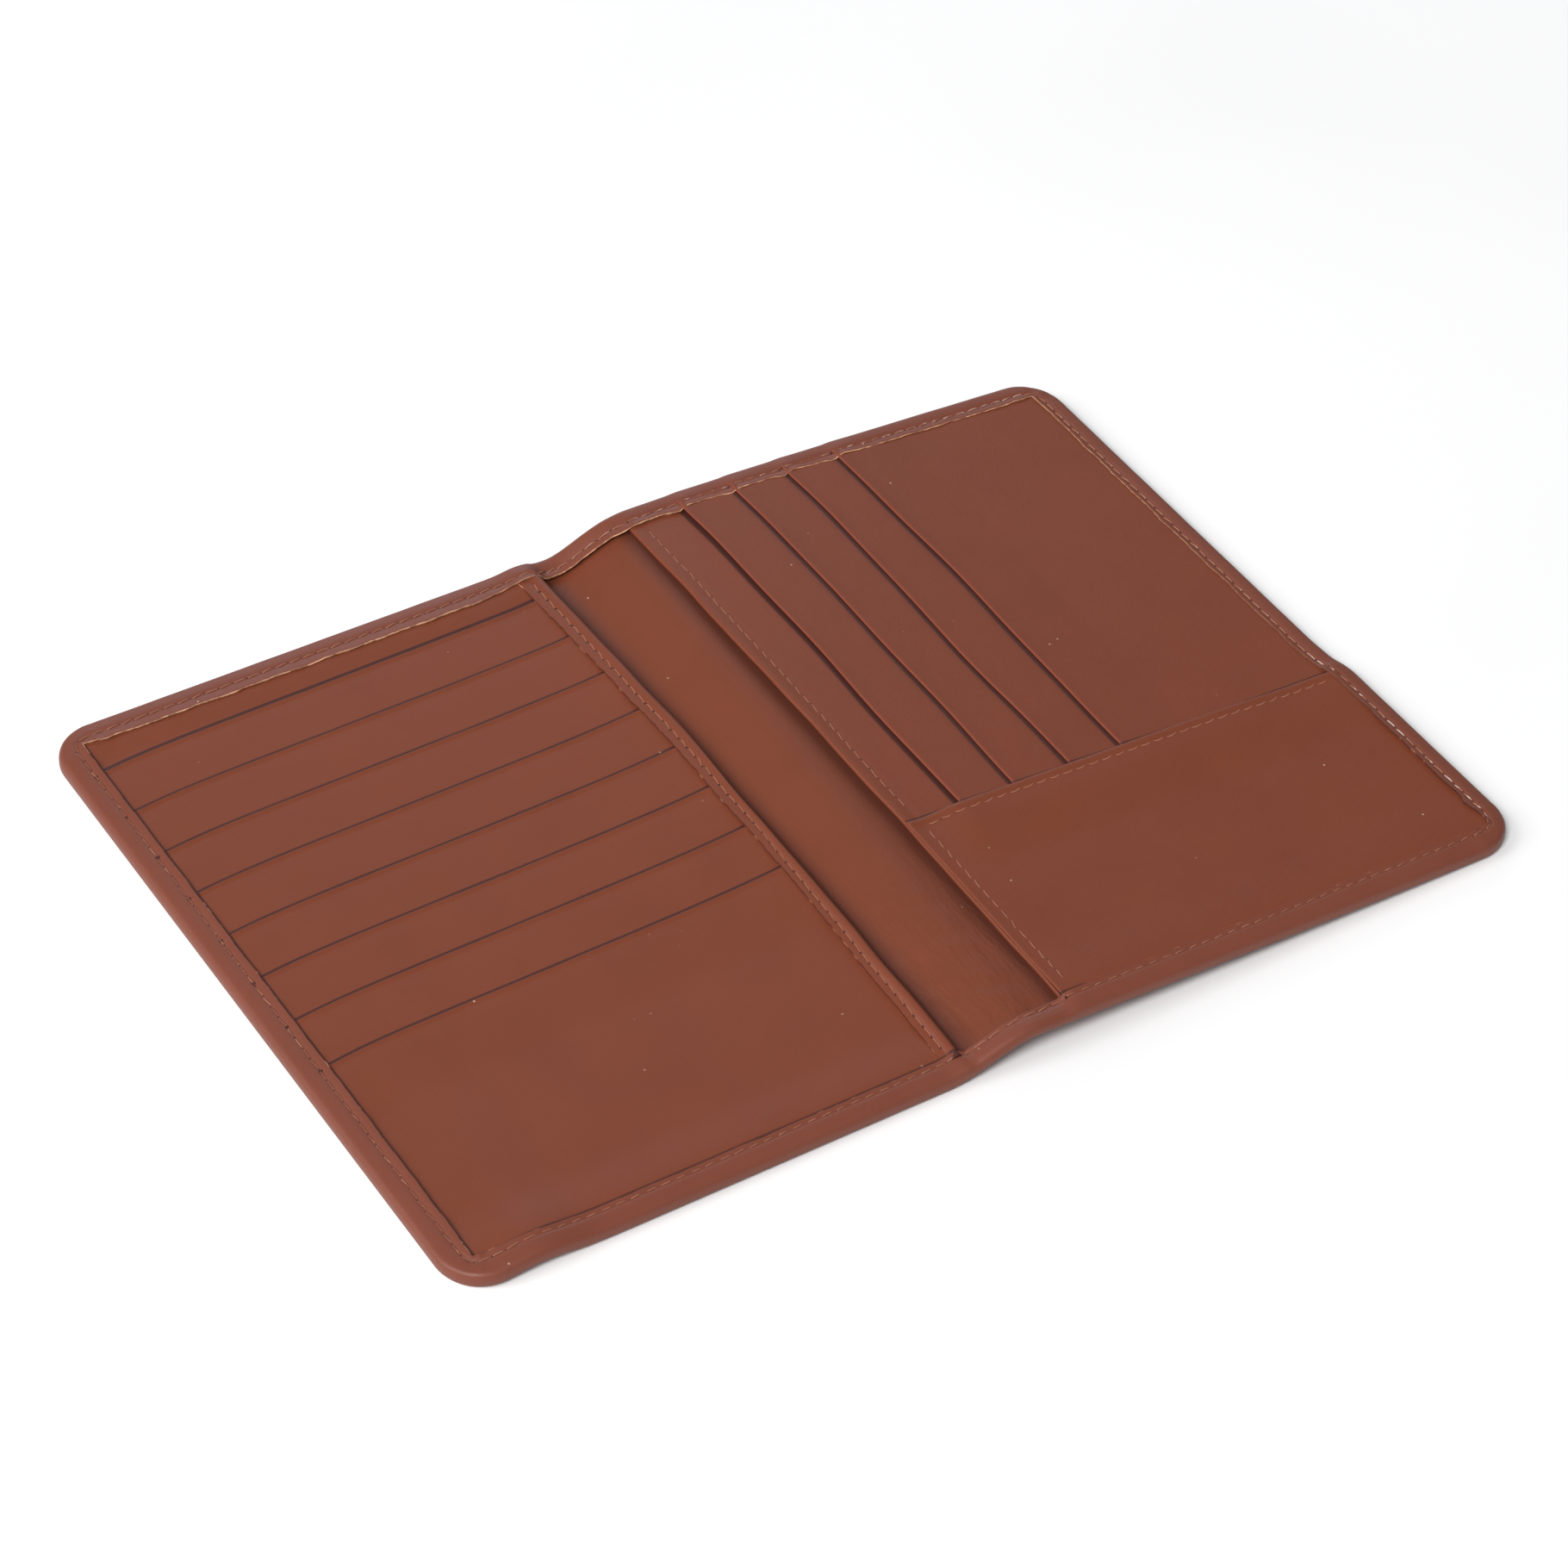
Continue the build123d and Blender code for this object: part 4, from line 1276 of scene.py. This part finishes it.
def build_materials():
    """The materials of the holder by the name of the record's slot."""
    colours = bpy.context.scene.holder_colours
    return {
        "cover_leather": shared(leather, "dyed_cover_leather", colours.cover, 0.46),
        "lining_leather": shared(leather, "dyed_lining_leather", colours.lining, 0.5, crease=0.35),
        "pocket_leather": shared(leather, "dyed_pocket_leather", colours.pocket, 0.46, shaded=True),
        "pocket_fabric": shared(fabric, "woven_pocket_fabric"),
        "stiffener_board": shared(board, "grey_fibre_board"),
        "sewing_thread": shared(thread, "twisted_thread"),
    }


def finished(piece, slot, nodes, body=None):
    """Gives a piece the material of its slot, hides the model's nodes that it stands for, and ties it
    to its body if one is given.
    """
    piece.data.materials.append(build_materials()[slot])
    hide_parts(*nodes)
    if body:
        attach(piece, body)
    return piece


def folded(piece, side):
    """Bakes the placement of a half of a sheet that crosses a fold into its mesh; the half is tied to
    no body.
    """
    middle = (SPLIT * MM, 0.0, 0.0)
    if side < 0:
        start = ((2.0 * LEFT_FOLD - SPLIT) * MM, 0.0, 0.0)
        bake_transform(piece)
    else:
        end = ((2.0 * RIGHT_FOLD - SPLIT) * MM, 0.0, 0.0)
        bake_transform(piece)


# ---------------------------------------------------------------------------------------------
# Operators


class HOLDER_OT_cover(bpy.types.Operator):
    """Cover of one leather sheet with its hem turned in, in two halves that meet on the spine"""

    bl_idname = "holder.cover"
    bl_label = "Cover"

    def execute(self, context):
        left = cover_half("cover_left_half", -1)
        right = cover_half("cover_right_half", 1)
        folded(finished(left, "cover_leather", ["left_cover", "spine_cover"]), -1)
        folded(finished(right, "cover_leather", ["right_cover"]), 1)
        return {"FINISHED"}


class HOLDER_OT_linings(bpy.types.Operator):
    """Lining in two halves that meet on the spine, and the boards between lining and cover"""

    bl_idname = "holder.linings"
    bl_label = "Linings and boards"

    def execute(self, context):
        left = lining_half("lining_left_half", -1)
        right = lining_half("lining_right_half", 1)
        folded(finished(left, "lining_leather", ["left_lining", "spine_lining"]), -1)
        folded(finished(right, "lining_leather", ["right_lining"]), 1)
        left = stiffener("board_left", LEFT_END + BOARD_INSET, corner("left_board", 1, "x"))
        right = stiffener("board_right", corner("right_board", 0, "x"), RIGHT_END - BOARD_INSET)
        finished(left, "stiffener_board", ["left_board"], "left_panel")
        finished(right, "stiffener_board", ["right_board"], "right_panel")
        return {"FINISHED"}


class HOLDER_OT_left_panel(bpy.types.Operator):
    """Card panel of the left leaf and the binding along its spine edge"""

    bl_idname = "holder.left_panel"
    bl_label = "Left card panel"

    def execute(self, context):
        panel = left_panel_sheet("card_panel_left")
        finished(panel, "pocket_leather", ["left_card_panel"], "left_panel")
        finished(binding_strip("binding_strip"), "pocket_leather", ["left_binding"], "left_panel")
        return {"FINISHED"}


class HOLDER_OT_stepped_pockets(bpy.types.Operator):
    """Eight stepped pocket fronts of the left leaf and the fabrics behind the first seven"""

    bl_idname = "holder.stepped_pockets"
    bl_label = "Stepped card pockets"

    def execute(self, context):
        for number in range(8):
            front = left_pocket(f"stepped_pocket_{number + 1}", number)
            finished(front, "pocket_leather", [f"left_card_pocket_{number + 1}"], "left_panel")
        for number in range(1, 8):
            name, node = f"stepped_pocket_fabric_{number}", f"left_pocket_lining_{number}"
            add_fabric(name, node, "left_panel")
        return {"FINISHED"}


class HOLDER_OT_right_panel(bpy.types.Operator):
    """Card panel of the right leaf with its folded spine edge"""

    bl_idname = "holder.right_panel"
    bl_label = "Right card panel"

    def execute(self, context):
        panel = right_panel_sheet("card_panel_right")
        finished(panel, "pocket_leather", ["right_card_panel"], "right_panel")
        return {"FINISHED"}


class HOLDER_OT_upright_pockets(bpy.types.Operator):
    """Four upright pocket fronts of the right leaf and the fabrics behind the first three"""

    bl_idname = "holder.upright_pockets"
    bl_label = "Upright card pockets"

    def execute(self, context):
        for number in range(4):
            front = right_pocket(f"upright_pocket_{number + 1}", number)
            finished(front, "pocket_leather", [f"right_card_pocket_{number + 1}"], "right_panel")
        for number in range(1, 4):
            name, node = f"upright_pocket_fabric_{number}", f"right_pocket_lining_{number}"
            add_fabric(name, node, "right_panel")
        return {"FINISHED"}


class HOLDER_OT_slip_pocket(bpy.types.Operator):
    """Wide slip pocket across the front of the right leaf"""

    bl_idname = "holder.slip_pocket"
    bl_label = "Slip pocket"

    def execute(self, context):
        pocket = slip_pocket_sheet("slip_pocket_front")
        finished(pocket, "pocket_leather", ["slip_pocket"], "right_panel")
        return {"FINISHED"}


class HOLDER_OT_stitching(bpy.types.Operator):
    """All seams: the border, the binding, the folded edge and the slip pocket's mouth"""

    bl_idname = "holder.stitching"
    bl_label = "Stitching"

    def execute(self, context):
        left = border_stitches("border_stitches_left", -1)
        right = border_stitches("border_stitches_right", 1)
        folded(finished(left, "sewing_thread", ["left_border_stitching", "spine_stitching"]), -1)
        folded(finished(right, "sewing_thread", ["right_border_stitching"]), 1)
        seam = binding_stitches("binding_stitches")
        finished(seam, "sewing_thread", ["left_binding_stitching"], "left_panel")
        seam = edge_stitches("folded_edge_stitches")
        finished(seam, "sewing_thread", ["right_edge_stitching"], "right_panel")
        seam = slip_stitches("slip_pocket_stitches")
        finished(seam, "sewing_thread", ["slip_pocket_stitching"], "right_panel")
        return {"FINISHED"}


class HOLDER_OT_stage(bpy.types.Operator):
    """Pale floor, soft lights and the camera"""

    bl_idname = "holder.stage"
    bl_label = "Stage"

    def execute(self, context):
        scene = context.scene
        scene.view_settings.view_transform = "Standard"
        scene.view_settings.look = "None"
        mesh = bpy.data.meshes.new("floor")
        x, y = np.meshgrid(FLOOR_LINES, FLOOR_LINES, indexing="ij")
        places = np.stack((x, y, np.full_like(x, FLOOR_HEIGHT)), axis=-1).reshape(-1, 3)
        quads = grid_quads(np.arange(x.size).reshape(x.shape))
        mesh.from_pydata(places.tolist(), [], quads.tolist())
        floor = bpy.data.objects.new("floor", mesh)
        scene.collection.objects.link(floor)
        floor.data.materials.append(shared(paper, "floor_paper"))
        world = bpy.data.worlds.new("studio")
        world.use_nodes = True
        background = world.node_tree.nodes["Background"]
        background.inputs["Color"].default_value = (1.0, 1.0, 1.0, 1.0)
        background.inputs["Strength"].default_value = 0.2
        scene.world = world
        for light in LIGHTS:
            add_light(*light)
        add_camera()
        return {"FINISHED"}


def add_fabric(name, node, body):
    """One pocket fabric, a sheet of cloth cut to its own width and length."""
    piece = fabric_sheet(name, node)
    finished(piece, "pocket_fabric", [node], body)


def add_light(name, place, size, power, colour):
    """A square soft light that faces the holder."""
    light = bpy.data.lights.new(name, "AREA")
    light.shape = "SQUARE"
    light.size = size
    light.energy = power
    light.color = colour
    lamp = bpy.data.objects.new(name, light)
    lamp.location = place
    lamp.rotation_euler = (-Vector(place)).to_track_quat("-Z", "Y").to_euler()
    bpy.context.scene.collection.objects.link(lamp)


# Name, place in metres, side in metres, power in watts, and colour of each soft light
LIGHTS = (
    ("soft_key", (-1.9, -1.3, 2.6), 1.5, 109.0, (1.0, 1.0, 1.0)),
    ("soft_side", (-2.4, 0.6, 1.7), 1.5, 44.0, (1.0, 1.0, 1.0)),
    ("soft_back", (0.60, 1.33, 0.60), 0.7, 3.4, (0.84, 0.88, 1.0)),
)
FLOOR_LINES = (-6.0, 0.0, 6.0)
FLOOR_HEIGHT = -0.0001
CAMERA_TURN = np.radians(-34.127)
CAMERA_RISE = np.radians(42.348)
CAMERA_ROLL = np.radians(2.965)
CAMERA_DISTANCE = 0.84148
CAMERA_TARGET = (0.00233, 0.00264, 0.0)
CAMERA_LENS = 113.30


def add_camera():
    """A camera that looks at the holder from the front left, rolled a little."""
    level_reach = np.cos(CAMERA_RISE)
    back = (np.sin(CAMERA_TURN) * level_reach, -np.cos(CAMERA_TURN) * level_reach)
    back = Vector((*back, np.sin(CAMERA_RISE)))
    right = (-back).cross(Vector((0.0, 0.0, 1.0))).normalized()
    up = right.cross(-back)
    level = right * np.cos(CAMERA_ROLL) + up * np.sin(CAMERA_ROLL)
    upward = up * np.cos(CAMERA_ROLL) - right * np.sin(CAMERA_ROLL)
    lens = bpy.data.cameras.new("camera")
    lens.lens = CAMERA_LENS
    lens.sensor_width = 36.0
    lens.clip_start = 0.01
    camera = bpy.data.objects.new("camera", lens)
    place = Vector(CAMERA_TARGET) + back * CAMERA_DISTANCE
    turned = Matrix((level, upward, back)).transposed().to_4x4()
    camera.matrix_world = Matrix.Translation(place) @ turned
    bpy.context.scene.collection.objects.link(camera)
    bpy.context.scene.camera = camera


class HOLDER_PT_panel(bpy.types.Panel):
    """Lists the holder's settings and its pieces"""

    bl_idname = "HOLDER_PT_panel"
    bl_label = "Passport Holder"
    bl_space_type = "VIEW_3D"
    bl_region_type = "UI"
    bl_category = "Passport Holder"

    def draw(self, context):
        for settings in (context.scene.holder_sizes, context.scene.holder_colours):
            for name in type(settings).__annotations__:
                self.layout.prop(settings, name)
        for operator in OPERATORS:
            self.layout.operator(operator.bl_idname)


OPERATORS = (
    HOLDER_OT_stage,
    HOLDER_OT_cover,
    HOLDER_OT_linings,
    HOLDER_OT_left_panel,
    HOLDER_OT_stepped_pockets,
    HOLDER_OT_right_panel,
    HOLDER_OT_upright_pockets,
    HOLDER_OT_slip_pocket,
    HOLDER_OT_stitching,
)
CLASSES = (HolderSizes, HolderColours, *OPERATORS, HOLDER_PT_panel)


def register():
    for kind in CLASSES:
        bpy.utils.register_class(kind)
    bpy.types.Scene.holder_sizes = bpy.props.PointerProperty(type=HolderSizes)
    bpy.types.Scene.holder_colours = bpy.props.PointerProperty(type=HolderColours)


def unregister():
    del bpy.types.Scene.holder_colours
    del bpy.types.Scene.holder_sizes
    for kind in reversed(CLASSES):
        bpy.utils.unregister_class(kind)


def main():
    """Builds the whole model."""
    register()
    for operator in OPERATORS:
        group, action = operator.bl_idname.split(".")
        getattr(getattr(bpy.ops, group), action)()


if __name__ == "__main__":
    main()
